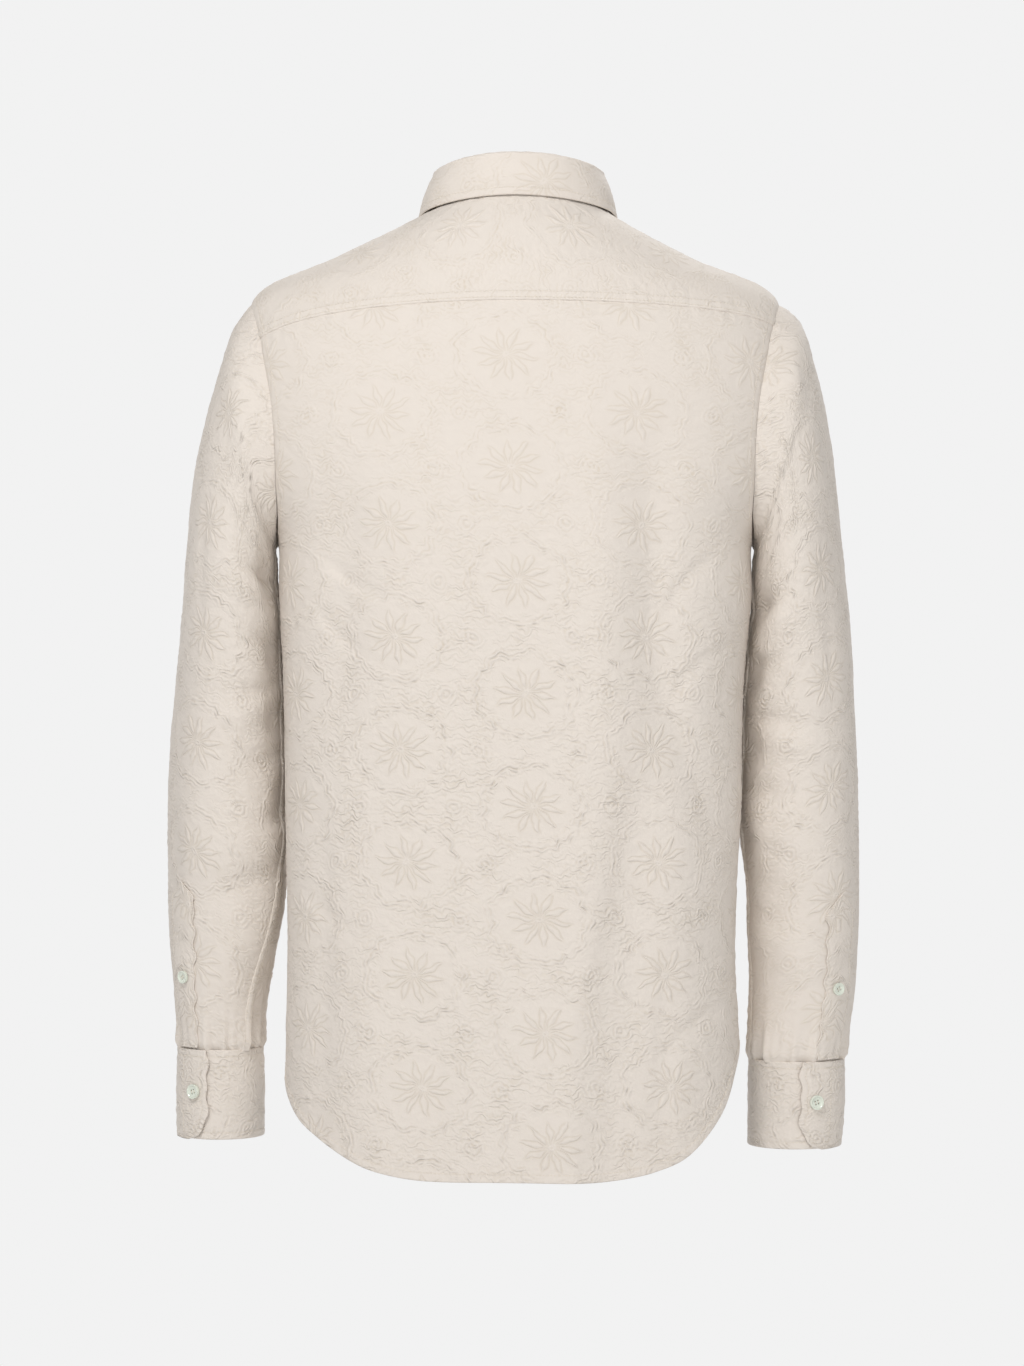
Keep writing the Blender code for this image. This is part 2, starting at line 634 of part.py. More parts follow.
def armhole_run(start, end, side):
    """Armhole points from one turn to another, at the same turns on every piece."""
    between = [t for t in ARMHOLE_TURNS if min(start, end) + 0.02 < t < max(start, end) - 0.02]
    turns = np.array([start, *sorted(between, reverse=bool(start > end)), end])
    return np.stack(armhole(turns, 1.0, side), axis=-1)


def gap_angle(level):
    """Half a seam's gap, as an angle at this level."""
    return SEAM * 0.6 / smooth(level, BODY["level"], BODY["front"])


def side_run(side, shift, up):
    """The side seam between the hem and the armpit."""
    low = float(hem_level(np.array(side * SIDE_SEAM)))
    levels = np.linspace(low, ARMPIT_LEVEL, 18)
    run = np.stack([side * SIDE_SEAM + shift * gap_angle(levels), levels], axis=-1)
    return run if up else run[::-1]


def back_outline():
    corner_left, corner_right = yoke_corner(1), yoke_corner(-1)
    hem_angles = np.linspace(-SIDE_SEAM, SIDE_SEAM, 25)[1:-1]
    hem = np.stack([hem_angles, hem_level(hem_angles)], axis=-1)
    left_arm = armhole_run(0, corner_left, 1)[1:]
    right_arm = armhole_run(corner_right, 0, -1)[:-1]
    seam_angles = np.linspace(left_arm[-1][0], right_arm[0][0], 19)
    seam = np.stack([seam_angles, yoke_level(seam_angles) - SEAM * 0.6], axis=-1)
    return np.concatenate([hem, side_run(1, -1, True), left_arm[:-1], seam, right_arm[1:], side_run(-1, 1, False)])


def yoke_outline():
    corner_left, corner_right = yoke_corner(1), yoke_corner(-1)
    right_arm = armhole_run(YOKE_FRONT_TURN, corner_right, -1)
    left_arm = armhole_run(corner_left, YOKE_FRONT_TURN, 1)
    seam_angles = np.linspace(right_arm[-1][0], left_arm[0][0], 19)
    seam = np.stack([seam_angles, yoke_level(seam_angles) + SEAM * 0.6], axis=-1)
    neck_angles = np.radians(np.concatenate([[113], np.arange(110, -111, -10), [-113]]))
    neck = np.stack([neck_angles, np.full(neck_angles.shape, NECK_LEVEL)], axis=-1)
    return np.concatenate([seam, left_arm[1:-1], shoulder_run(1, -1), neck[1:-1], shoulder_run(-1, 1)[::-1], right_arm[1:-1]])


def shoulder_run(side, shift):
    """The front yoke seam, from the armhole to the neck."""
    angle, level = armhole(YOKE_FRONT_TURN, 1.0, side)
    levels = np.linspace(level, NECK_LEVEL, 8)
    share = (levels - level) / (NECK_LEVEL - level)
    angles = angle + (side * YOKE_NECK_ANGLE - angle) * share
    return np.stack([angles + shift * SEAM * 0.6 / smooth(levels, BODY["level"], BODY["left"]), levels], axis=-1)


CENTRE_LEVELS = np.concatenate([np.linspace(-0.724, -0.142, 22), np.linspace(-0.124, NECK_LEVEL, 10)])


def front_outline(side):
    """A front, with its angles running from the side seam round to the centre front."""
    edge = FRONT_MEET + SEAM if side > 0 else FRONT_MEET
    levels = CENTRE_LEVELS
    centre = np.stack([angle_at(np.full(levels.shape, edge), levels), levels], axis=-1)
    whole = np.radians(np.linspace(95, 265, 27))
    if side > 0:
        hem_angles = whole[whole < centre[0][0] - 0.03][1:]
        neck_angles = [a for a in np.radians(np.arange(170, 119, -10)) if a < centre[-1][0] - 0.03]
    else:
        hem_angles = whole[whole > centre[0][0] + 0.03][::-1][1:]
        neck_angles = [a for a in np.radians(np.arange(170, 241, 10)) if a > centre[-1][0] + 0.03]
    hem = np.stack([hem_angles, hem_level(hem_angles)], axis=-1)
    neck = np.array([(a, NECK_LEVEL) for a in neck_angles])
    seam = shoulder_run(side, side)[::-1]
    arm = armhole_run(YOKE_FRONT_TURN, 2 * math.pi, side)[1:-1]
    down = side_run(side, side, False)
    if side < 0:
        seam = seam + [2 * math.pi, 0]
        arm = arm + [2 * math.pi, 0]
        down = down + [2 * math.pi, 0]
    loop = np.concatenate([hem, centre, neck, seam, arm, down])
    return loop if side > 0 else loop[::-1]


def sleeve_outline(side):
    """A sleeve laid open at its under seam: turns 0 to 360, and lengths from the armhole down."""
    end = sleeve_knots(side)[-1]
    down = np.linspace(0, end, 27)
    top = np.stack([ARMHOLE_TURNS, np.zeros(ARMHOLE_TURNS.shape)], axis=-1)
    right = np.stack([np.full(25, 2 * math.pi), down[1:-1]], axis=-1)
    bottom = np.stack([ARMHOLE_TURNS[::-1], np.full(ARMHOLE_TURNS.shape, end)], axis=-1)
    left = np.stack([np.zeros(25), down[1:-1][::-1]], axis=-1)
    return np.concatenate([top, right, bottom, left]), 25


def stand_top(angle):
    """The top edge of the collar's stand, at an angle round the neck, on its outer face."""
    foot = body_ring(angle, np.full(np.shape(angle), NECK_LEVEL))
    return stand_point(angle, np.ones(np.shape(angle)), foot)


def stand_point(angle, share, foot=None):
    """The stand's outer face: share 0 is its seam and 1 its top edge."""
    if foot is None:
        foot = body_ring(angle, np.full(np.shape(angle), NECK_LEVEL))
    out = unit(foot * [1, 1, 0])
    front = ease((-np.cos(angle) + 0.2) / 1.2)
    lean = STAND_LEAN_BACK - STAND_LEAN_FRONT * front
    rise = STAND_HEIGHT - STAND_FRONT * front
    turns = (angle + math.pi) / (2 * math.pi)
    overlap = STAND_LAP * np.clip(turns, -0.05, 1.05)
    forward = STAND_FRONT * front * share
    point = foot + out * (overlap + lean * share)[..., None]
    point = point + np.stack([0 * share, -forward, SEAM * 2 + rise * share], axis=-1)
    return point


def collar_stand(material):
    """The band round the neck, whose ends lap at the centre front."""
    half = [*range(0, 171, 10), FALL_END, 180, 360 - FALL_END]
    half = np.radians([*[-a for a in reversed(half[1:])], *half])
    rows = []
    for share in np.array([0.0, 0.5, 1.0]):
        end = math.pi + STAND_OVERLAP / 0.069 - 0.04 * share**6
        turns = np.concatenate([[-end], half, [end]])
        rows.append(stand_point(turns, np.full(turns.shape, share)))
    return shell("collar_stand", np.array(rows), BAND, (0, 0, 0.01), material)


def fall_point(angle, share):
    """The collar's fall: share 0 is its start above the stand and 1 its lower edge."""
    away = np.degrees(np.abs(angle))
    out = unit(body_ring(angle, np.full(np.shape(angle), NECK_LEVEL)) * [1, 1, 0])
    over_end = FALL_OVER_END * ease((-np.degrees(angle) - 140) / 20)
    top = stand_top(angle) + out * over_end[..., None]
    lower = np.sign(angle) * (np.abs(angle) - FALL_TIP_LAG * ease((away - 100) / 73))
    level = smooth(away, FALL_EDGE["angle"], FALL_EDGE["level"])
    lift = smooth(away, FALL_EDGE["angle"], FALL_EDGE["lift"])
    edge = body_ring(lower, level) + normals(body_ring, lower, level, 0.01, 0.002) * lift[..., None]
    bend = np.radians(180 - 190 * np.clip((share - FOLD_START) / (FOLD_END - FOLD_START), 0, 1))
    across = FALL_START + FOLD_RADIUS * (1 + np.cos(bend))
    rise = FALL_RISE + FALL_FOOT * np.clip(share / FOLD_START, 0, 1) + FOLD_RADIUS * np.sin(bend)
    fold = top + out * across[..., None] + np.stack([0 * rise, 0 * rise, rise], axis=-1)
    last_bend = math.radians(-10)
    last = top + out * (FALL_START + FOLD_RADIUS * (1 + math.cos(last_bend)))
    last = last + [0, 0, FALL_RISE + FALL_FOOT + FOLD_RADIUS * math.sin(last_bend)]
    run = np.clip((share - FOLD_END) / (1 - FOLD_END), 0, 1)[..., None]
    belly = out * (FALL_BELLY * np.sin(math.pi * run) * (1 - 0.3 * run))
    return np.where(run > 0, last + (edge - last) * run + belly, fold)


def collar_fall(material):
    turns = np.radians([-FALL_END, *range(-170, 171, 10), FALL_END])
    shares = [0.0, *np.linspace(FOLD_START, FOLD_END, 5), 0.44, 0.72, 1.0]
    rows = [fall_point(turns, np.full(turns.shape, s)) for s in shares]
    return shell("collar_fall", np.array(rows), FALL_WALL, (0, 0, -0.05), material)


def cuff_point(side, run, share):
    """A cuff's outer face. run is 0 at the under end and 1 at the top layer's edge."""
    sign = 1 if side == "left" else -1
    rings = CUFFS[side]
    span = 2 * math.pi + CUFF_UNDER
    turn = CUFF_EDGE[side] + CUFF_UNDER - span * run
    knots = np.linspace(0, 1, 3)
    size = {name: smooth(share, knots, rings[name]) for name in rings}
    lift = (BAND + 0.0005) * ease((run - 0.55) / 0.35)
    centre = (size["outer_x"] + size["under_x"]) / 2
    half = (size["outer_x"] - size["under_x"]) / 2 - 0.0012 + lift
    deep = size["depth"] - 0.0012 + lift
    x = sign * (centre - half * np.cos(turn))
    y = size["mid_y"] + deep * np.sin(turn)
    return np.stack([x, y, size["z"]], axis=-1)


def cuff(side, material):
    """A buttoned cuff: one strip that passes over its own end, with a rounded lower corner."""
    rings = CUFFS[side]
    height = rings["z"][0] - rings["z"][-1]
    runs = np.concatenate([np.linspace(0, 0.86, 24), [0.90, 0.925, 0.95, 0.975, 1.0]])
    rows = []
    for share in np.array([0.0, 0.36, 0.72, 0.82, 0.91, 0.97, 1.0]):
        from_edge = (1 - share) * height
        cut = max(0.0, CUFF_CORNER - from_edge) / CUFF_CORNER
        short = CUFF_CORNER * (1 - math.sqrt(max(0.0, 1 - cut**2))) / 0.262
        last = np.clip((runs - 0.86) / 0.14, 0, 1)
        rows.append(cuff_point(side, runs - short * last, np.full(runs.shape, share)))
    middle = ((rings["outer_x"][1] + rings["under_x"][1]) / 2 * (1 if side == "left" else -1), -0.038, rings["z"][1])
    return shell("cuff_" + side, np.array(rows), BAND, middle, material)


def placket_places(side):
    """Turns and lengths of the strip over the sleeve's slit, in rows from its pointed top down."""
    end = sleeve_knots(side)[-1]
    across = np.array([0.0, 0.25, 0.5, 0.75, 1.0])
    rows = []
    for down in np.linspace(0, 1, 9):
        point = PLACKET_POINT * (1 - np.abs(2 * across - 1)) * (1 - down) ** 3
        length = end - 0.0006 - PLACKET_LENGTH * (1 - down) - point
        turns = PLACKET_EDGE[side] + PLACKET_WIDTH * across / 0.041
        rows.append(np.stack([turns, length], axis=-1))
    return np.array(rows)


def sleeve_placket(side, material):
    """The strip over the sleeve's slit, with a pointed top."""
    turns, length = np.moveaxis(placket_places(side), -1, 0)
    out = sleeve_out(side, turns, length)
    points = sleeve(side, turns, length) + out * PLACKET_TOP
    middle = points.mean(axis=(0, 1)) - out.mean(axis=(0, 1)) * 0.02
    return shell("sleeve_placket_" + side, points, PLACKET_WALL, middle, material)


def front_placket(material):
    levels = np.concatenate([[-0.7225], CENTRE_LEVELS[1:-1], [NECK_LEVEL - 0.0045]])
    rows = []
    for x in np.linspace(-PLACKET_HALF, PLACKET_HALF, 4):
        angles = angle_at(np.full(levels.shape, x), levels)
        out = normals(body_ring, angles, levels, 0.01, 0.002)
        rows.append(body(angles, levels) + out * FRONT_BAND_TOP)
    return shell("front_placket", np.array(rows), BAND, (0, 0, -0.36), material)


def button(name, place, out, size, material):
    """A turned button with a raised rim, lying on its cloth."""
    radius = size / 2
    profile = [
        (0.0, 0.0),
        (radius * 0.80, 0.0),
        (radius, BUTTON_THICK * 0.45),
        (radius * 0.90, BUTTON_THICK),
        (radius * 0.62, BUTTON_THICK * 0.62),
        (0.0, BUTTON_THICK * 0.55),
    ]
    mesh = bmesh.new()
    line_points = [mesh.verts.new((x, 0, z)) for x, z in profile]
    for first, second in zip(line_points, line_points[1:]):
        mesh.edges.new((first, second))
    bmesh.ops.spin(
        mesh,
        geom=mesh.verts[:] + mesh.edges[:],
        cent=(0, 0, 0),
        axis=(0, 0, 1),
        angle=2 * math.pi,
        steps=12,
        use_merge=True,
    )
    bmesh.ops.remove_doubles(mesh, verts=mesh.verts, dist=1e-5)
    bmesh.ops.recalc_face_normals(mesh, faces=mesh.faces)
    obj = finish(name, mesh, material)
    obj.rotation_mode = "QUATERNION"
    obj.rotation_quaternion = Vector(out).to_track_quat("Z", "Y")
    obj.location = Vector(place + out * SEAM * 1.6)
    return obj


def cloth_material(name, colour, roughness):
    made = bpy.data.materials.new(name)
    made.use_nodes = True
    shader = made.node_tree.nodes["Principled BSDF"]
    shader.inputs["Base Color"].default_value = (*colour, 1)
    shader.inputs["Roughness"].default_value = roughness
    shader.inputs["Metallic"].default_value = 0
    return made


def body_face(low, high):
    return Face(
        body,
        lambda a, b: normals(body_ring, a, b, 0.01, 0.002),
        low,
        high,
        (0 if low[0] < 0 else math.pi, -0.42),
        np.array([0.155 * 1.8, 1.0]),
    )


def sleeve_face(side):
    end = sleeve_knots(side)[-1]
    return Face(
        lambda a, b: sleeve(side, a, b),
        lambda a, b: sleeve_out(side, a, b),
        (0, 0.0005),
        (2 * math.pi, end),
        (math.radians(118), end * 0.55),
        np.array([0.052 * 2.0, 1.0]),
    )


def buttons(material):
    for number, level in enumerate(FRONT_BUTTON_LEVELS, 1):
        angle = angle_at(np.array(0.0), np.array(level))
        out = normals(body_ring, angle, np.array(level), 0.01, 0.002)
        place = body(angle, level) + out * FRONT_BAND_TOP
        button("front_button_" + str(number), place, out, FRONT_BUTTON, material)
    angle, share = np.array(math.pi), np.array(0.55)
    place = stand_point(angle, share)
    up = stand_point(angle, share + 0.1) - stand_point(angle, share - 0.1)
    out = unit(np.cross([1, 0, 0], up))
    button("collar_button", place, out if out[1] < 0 else -out, FRONT_BUTTON * 0.9, material)
    for side in ("left", "right"):
        run, share = np.array(1 - 0.0115 / 0.272), np.array(0.48)
        place = cuff_point(side, run, share)
        along = cuff_point(side, run + 0.01, share) - cuff_point(side, run - 0.01, share)
        down = cuff_point(side, run, share + 0.05) - cuff_point(side, run, share - 0.05)
        out = unit(np.cross(along, down))
        button("cuff_button_" + side, place, out if out[1] > 0 else -out, CUFF_BUTTON, material)
        turn = PLACKET_EDGE[side] + 0.4 * PLACKET_WIDTH / 0.041
        length = sleeve_knots(side)[-1] - PLACKET_BUTTON_UP
        out = sleeve_out(side, np.array(turn), np.array(length))
        place = sleeve(side, turn, length) + out * PLACKET_TOP
        button("sleeve_placket_button_" + side, place, out, PLACKET_BUTTON, material)


def build():
    cloth = cloth_material("puffed_cloth", (0.76, 0.70, 0.62), 0.85)
    pearl = cloth_material("shell_button", (0.80, 0.80, 0.72), 0.25)
    back = body_face((-1.8, -0.76), (1.8, 0.022))
    front = body_face((1.6, -0.76), (4.7, 0.022))
    armpits = [(1.0, 1.8, -0.30, -0.20), (-1.8, -1.0, -0.30, -0.20)]
    shoulders = [(1.9, 2.6, -0.12, 0.03), (3.7, 4.4, -0.12, 0.03)]
    cloth_wall("back", back, back_outline(), cloth, (-0.008, 0.048, GRAIN_LEAN, False), armpits)
    cloth_wall("yoke", back, yoke_outline(), cloth, (FLOWER_UP / 2, 0.424, 0, True), [], facet=0.028)
    cloth_wall("front_left", front, front_outline(1), cloth, (-0.0495, 0.020, 0, False), shoulders)
    cloth_wall("front_right", front, front_outline(-1), cloth, (-0.0495, 0.020, 0, False), shoulders)
    lays = {"left": (0.0, 0.075, 0, False), "right": (0.0, 0.020, 0, False)}
    for side in ("left", "right"):
        outline, closes = sleeve_outline(side)
        slit = PLACKET_EDGE[side]
        end = sleeve_knots(side)[-1]
        top = end - PLACKET_LENGTH - PLACKET_POINT - 0.006
        bare = [(slit - 0.10, slit + PLACKET_WIDTH / 0.041 + 0.10, top, end), (0, 7, 0, 0.062)]
        under = placket_places(side)[:-1].reshape(-1, 2)
        cloth_wall("sleeve_" + side, sleeve_face(side), outline, cloth, lays[side], bare, closes, under=under)
        cuff(side, cloth)
        sleeve_placket(side, cloth)
    collar_stand(cloth)
    collar_fall(cloth)
    front_placket(cloth)
    buttons(pearl)


for thing in list(bpy.data.objects):
    bpy.data.objects.remove(thing)
collection = bpy.data.collections.new("embroidered_shirt")
bpy.context.scene.collection.children.link(collection)
build()
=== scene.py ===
# An embroidered long-sleeved shirt, worn and hollow: its puffed cloth, its sewing and its buttons.
# Metres, +Z up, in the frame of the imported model: the front faces -Y and the wearer's left is +X.
import math

import bmesh
import bpy
import numpy as np
from mathutils import Matrix, Vector, bvhtree, kdtree
from mathutils.geometry import delaunay_2d_cdt


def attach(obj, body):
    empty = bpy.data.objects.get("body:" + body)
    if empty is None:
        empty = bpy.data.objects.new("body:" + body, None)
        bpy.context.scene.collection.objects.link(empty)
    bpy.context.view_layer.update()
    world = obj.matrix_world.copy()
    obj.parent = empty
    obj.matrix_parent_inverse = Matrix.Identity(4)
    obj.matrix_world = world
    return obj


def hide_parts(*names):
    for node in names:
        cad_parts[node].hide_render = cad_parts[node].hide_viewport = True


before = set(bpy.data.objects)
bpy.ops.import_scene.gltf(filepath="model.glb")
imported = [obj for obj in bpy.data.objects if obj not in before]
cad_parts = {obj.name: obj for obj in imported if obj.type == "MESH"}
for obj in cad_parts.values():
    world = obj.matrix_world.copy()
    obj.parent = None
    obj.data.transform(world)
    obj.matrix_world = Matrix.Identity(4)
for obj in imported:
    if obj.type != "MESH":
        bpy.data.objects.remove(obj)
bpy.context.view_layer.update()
stage = bpy.context.scene

# The camera stands behind the shirt, level with the middle of its back, as the photo's did.
# The image is taken to be 1024 by 1366 pixels, and a pixel is so many metres of the back.
IMAGE_TALL = 1366
PIXEL = 0.00079
CAMERA_AWAY = 3.2
camera_data = bpy.data.cameras.new("camera")
camera_data.angle = 2 * math.atan(IMAGE_TALL * PIXEL / 2 / CAMERA_AWAY)
camera = bpy.data.objects.new("camera", camera_data)
camera.location = (0.00237, CAMERA_AWAY, -0.3618)
camera.rotation_euler = (math.radians(90), 0, math.radians(180))
stage.collection.objects.link(camera)
stage.camera = camera

# The studio: a room that is pale level with the shirt and dimmer above and below it, one broad
# light high on the camera's left, a weak one low on its right, and the same pair in front.
ROOM = 0.887
ROOM_DIM = 0.22
stage.view_settings.view_transform = "Standard"
stage.view_settings.look = "None"
world = bpy.data.worlds.new("room")
stage.world = world
world.use_nodes = True
room = world.node_tree
direction = room.nodes.new("ShaderNodeTexCoord")
upright = room.nodes.new("ShaderNodeSeparateXYZ")
steep = room.nodes.new("ShaderNodeMath")
steep.operation = "ABSOLUTE"
shade = room.nodes.new("ShaderNodeMapRange")
for socket, value in (("From Min", 0.20), ("From Max", 0.50), ("To Min", ROOM), ("To Max", ROOM_DIM)):
    shade.inputs[socket].default_value = value
room.links.new(direction.outputs["Generated"], upright.inputs[0])
room.links.new(upright.outputs["Z"], steep.inputs[0])
room.links.new(steep.outputs[0], shade.inputs["Value"])
room.links.new(shade.outputs[0], room.nodes["Background"].inputs["Strength"])
room.nodes["Background"].inputs["Color"].default_value = (1, 1, 1, 1)
LIGHTS = [
    ("key_light", (0.8, 2.2, 1.9), 1.0, 52.0),
    ("fill_light", (-0.8, 2.7, -0.55), 1.2, 15.0),
    ("front_light", (-0.8, -2.2, 1.9), 1.0, 52.0),
    ("front_fill", (0.8, -2.7, -0.55), 1.2, 15.0),
]
for light_name, place, size, power in LIGHTS:
    light_data = bpy.data.lights.new(light_name, "AREA")
    light_data.shape = "DISK"
    light_data.size = size
    light_data.energy = power
    light = bpy.data.objects.new(light_name, light_data)
    light.location = place
    aim = Vector((0, 0, -0.36)) - Vector(place)
    light.rotation_euler = aim.to_track_quat("-Z", "Y").to_euler()
    stage.collection.objects.link(light)
bpy.ops.object.select_all(action="DESELECT")
bpy.ops.mesh.primitive_circle_add(vertices=96, radius=3.2, fill_type="NGON", location=(0, 0, -1.45))
floor = bpy.context.object
floor.name = "floor"
floor_finish = bpy.data.materials.new("floor_paper")
floor_finish.use_nodes = True
floor_shader = floor_finish.node_tree.nodes["Principled BSDF"]
floor_shader.inputs["Base Color"].default_value = (0.84, 0.84, 0.84, 1)
floor_shader.inputs["Roughness"].default_value = 0.9
floor.data.materials.append(floor_finish)


# Back: one panel of puffed double cloth, cut with a shirt-tail hem and sewn to the yoke, the
# fronts and the sleeves. Its flowers are woven in as loose puffs between tight lines.
def numbers(text):
    """Rows of numbers from lines of text, without the first line, which names the columns."""
    return np.array([line.split() for line in text.strip().splitlines()[1:]], float)


def table(text):
    """The columns of such lines, by their names."""
    return dict(zip(text.split("\n")[1].split(), numbers(text).T))


BODY = table("""
 level  z_side  z_front    left   right    back  front  square
 -0.78   -0.78    -0.78   0.181   0.178   0.111  0.111    2.25
 -0.66   -0.66    -0.66   0.181   0.177   0.109  0.111    2.25
 -0.56   -0.56    -0.56  0.1795  0.1735  0.1075  0.112    2.25
 -0.46   -0.46    -0.46  0.1812  0.1782  0.1085  0.114    2.25
 -0.36   -0.36    -0.36  0.1828  0.1805  0.1125  0.118    2.25
 -0.29   -0.29    -0.29   0.186  0.1866  0.1155  0.121     2.3
-0.249  -0.249   -0.249   0.187   0.187   0.117  0.122     2.3
  -0.2    -0.2   -0.207   0.204   0.204   0.116  0.121     2.3
 -0.15  -0.148   -0.168   0.214   0.214   0.113  0.118    2.25
-0.105  -0.096   -0.134   0.216   0.216   0.108  0.114     2.1
-0.068  -0.056   -0.106   0.204   0.204   0.101  0.107     1.9
 -0.02  -0.026   -0.073    0.14   0.137   0.086  0.095    1.85
 0.003  -0.006   -0.058  0.0965  0.0975   0.073  0.084    1.95
 0.022   0.012   -0.045  0.0585   0.066   0.057  0.069    2.05
""")
HEM = table("""
angle  back_left  back_right  front_left  front_right
    0     -0.743      -0.743      -0.726       -0.726
   25     -0.741      -0.742      -0.724       -0.724
   35     -0.735      -0.737      -0.719       -0.719
   46     -0.724      -0.727      -0.709       -0.708
   56     -0.713       -0.71      -0.697       -0.694
   66     -0.702       -0.69      -0.684       -0.677
   76     -0.688      -0.664      -0.672        -0.66
   95     -0.664      -0.644      -0.664       -0.644
""")
SIDE_SEAM = math.radians(95)
NECK_LEVEL = 0.022
ARMPIT_LEVEL = -0.249
SHOULDER_LEVEL = -0.075
ARMHOLE_BACK = math.radians(32)
ARMHOLE_FRONT = math.radians(36)
YOKE_NECK_ANGLE = math.radians(113)
YOKE_FRONT_TURN = math.radians(205)
YOKE_BACK_LEVEL = -0.068
YOKE_DROP_LEFT = 0.031
YOKE_DROP_RIGHT = 0.020

# Long soft folds: height and place of each point, half width and depth. The first seven behind
# and five in front are the solid's own. The others are the finer creases of the cloth itself.
BACK_FOLDS = [
    ([(-0.17, -0.106), (-0.27, -0.104), (-0.33, -0.106), (-0.39, -0.118), (-0.48, -0.152)], 0.026, -0.0055),
    ([(-0.24, -0.070), (-0.44, -0.062), (-0.57, -0.050), (-0.66, -0.040), (-0.80, -0.036)], 0.030, 0.0050),
    ([(-0.42, -0.098), (-0.57, -0.086), (-0.66, -0.080), (-0.80, -0.076)], 0.024, -0.0040),
    ([(-0.20, 0.134), (-0.30, 0.132), (-0.40, 0.144)], 0.024, -0.0035),
    ([(-0.55, 0.110), (-0.66, 0.112), (-0.80, 0.116)], 0.024, 0.0035),
    ([(-0.60, 0.066), (-0.68, 0.062), (-0.80, 0.056)], 0.022, -0.0030),
    ([(-0.30, -0.150), (-0.45, -0.128), (-0.60, -0.124)], 0.024, 0.0030),
    (
        [(-0.20, -0.107), (-0.27, -0.108), (-0.34, -0.111), (-0.375, -0.118), (-0.42, -0.136), (-0.46, -0.150)],
        0.011,
        -0.0016,
    ),
    ([(-0.46, -0.088), (-0.53, -0.078), (-0.60, -0.066), (-0.68, -0.060)], 0.012, -0.0009),
    ([(-0.52, -0.064), (-0.61, -0.047), (-0.75, -0.042)], 0.010, 0.0008),
    ([(-0.26, 0.048), (-0.34, 0.046), (-0.42, 0.043)], 0.014, -0.0012),
    ([(-0.23, 0.133), (-0.37, 0.134)], 0.011, -0.0012),
    ([(-0.57, 0.107), (-0.60, 0.106)], 0.008, -0.0010),
    ([(-0.64, 0.062), (-0.72, 0.060)], 0.009, -0.0014),
    ([(-0.58, -0.118), (-0.66, -0.113), (-0.74, -0.111)], 0.010, -0.0020),
    ([(-0.10, 0.085), (-0.16, 0.090), (-0.21, 0.100)], 0.012, -0.0008),
    ([(-0.10, -0.060), (-0.17, -0.064), (-0.24, -0.072)], 0.016, 0.0010),
    ([(-0.30, -0.020), (-0.42, -0.016), (-0.55, -0.010)], 0.020, 0.0009),
    ([(-0.46, 0.150), (-0.56, 0.148), (-0.70, 0.150)], 0.010, -0.0018),
]
FRONT_FOLDS = [
    ([(-0.20, 0.110), (-0.34, 0.100), (-0.48, 0.104)], 0.026, -0.0045),
    ([(-0.36, 0.064), (-0.55, 0.072), (-0.80, 0.078)], 0.028, 0.0045),
    ([(-0.18, -0.112), (-0.32, -0.098), (-0.46, -0.094)], 0.026, -0.0045),
    ([(-0.40, -0.130), (-0.58, -0.112), (-0.80, -0.104)], 0.026, 0.0045),
    ([(-0.50, -0.062), (-0.66, -0.066), (-0.80, -0.070)], 0.024, -0.0030),
    ([(-0.17, 0.112), (-0.30, 0.104), (-0.44, 0.102)], 0.010, -0.0022),
    ([(-0.16, -0.110), (-0.28, -0.102), (-0.40, -0.096)], 0.010, -0.0022),
    ([(-0.44, 0.090), (-0.58, 0.094), (-0.72, 0.098)], 0.011, -0.0018),
    ([(-0.46, -0.086), (-0.60, -0.084), (-0.72, -0.088)], 0.011, -0.0018),
    ([(-0.50, 0.134), (-0.66, 0.130)], 0.012, 0.0014),
    ([(-0.24, -0.060), (-0.36, -0.056)], 0.012, 0.0010),
]

# Creases that run across the body: both ends, half width and depth.
BACK_CREASES = numbers("""
start_x  start_z   end_x   end_z  half_width    depth
   0.15   -0.268   0.096    -0.3       0.007  -0.0016
  0.158     -0.3   0.118  -0.345       0.007  -0.0014
  -0.15   -0.262  -0.116   -0.31       0.008  -0.0018
  -0.16    -0.33   -0.12  -0.372       0.007  -0.0014
   0.05   -0.596   0.022  -0.632       0.007   0.0011
  0.128    -0.42   0.094  -0.452       0.008  -0.0009
 -0.034    -0.15  -0.094  -0.178       0.009  -0.0007
  0.168    -0.52   0.118   -0.56       0.009  -0.0012
  -0.16    -0.61  -0.112   -0.65       0.009  -0.0015
   0.02     -0.7    0.04  -0.742       0.007  -0.0009
""")
FRONT_CREASES = numbers("""
start_x  start_z   end_x   end_z  half_width    depth
   0.16    -0.27    0.08    -0.3       0.008   -0.002
  -0.16    -0.27  -0.084  -0.306       0.008   -0.002
   0.15    -0.33    0.09  -0.372       0.008  -0.0013
  -0.15    -0.35  -0.098  -0.396       0.008  -0.0013
   0.12    -0.56    0.07    -0.6       0.009   -0.001
  -0.13     -0.6  -0.074  -0.636       0.009   -0.001
""")


def smooth(x, knots, values):
    """A cubic curve through the values, which runs on straight past its ends."""
    knots, values = np.asarray(knots, float), np.asarray(values, float)
    if knots[0] > knots[-1]:
        knots, values = knots[::-1], values[::-1]
    x = np.asarray(x, float)
    slope = np.gradient(values, knots, axis=0)
    i = np.clip(np.searchsorted(knots, x) - 1, 0, len(knots) - 2)
    step = knots[i + 1] - knots[i]
    f = (x - knots[i]) / step
    g = np.clip(f, 0, 1)
    past = (f - g) * step
    end_slope = np.where(past > 0, slope[i + 1], slope[i])
    curve = (
        (2 * g**3 - 3 * g**2 + 1) * values[i]
        + (g**3 - 2 * g**2 + g) * step * slope[i]
        + (3 * g**2 - 2 * g**3) * values[i + 1]
        + (g**3 - g**2) * step * slope[i + 1]
    )
    return curve + past * end_slope


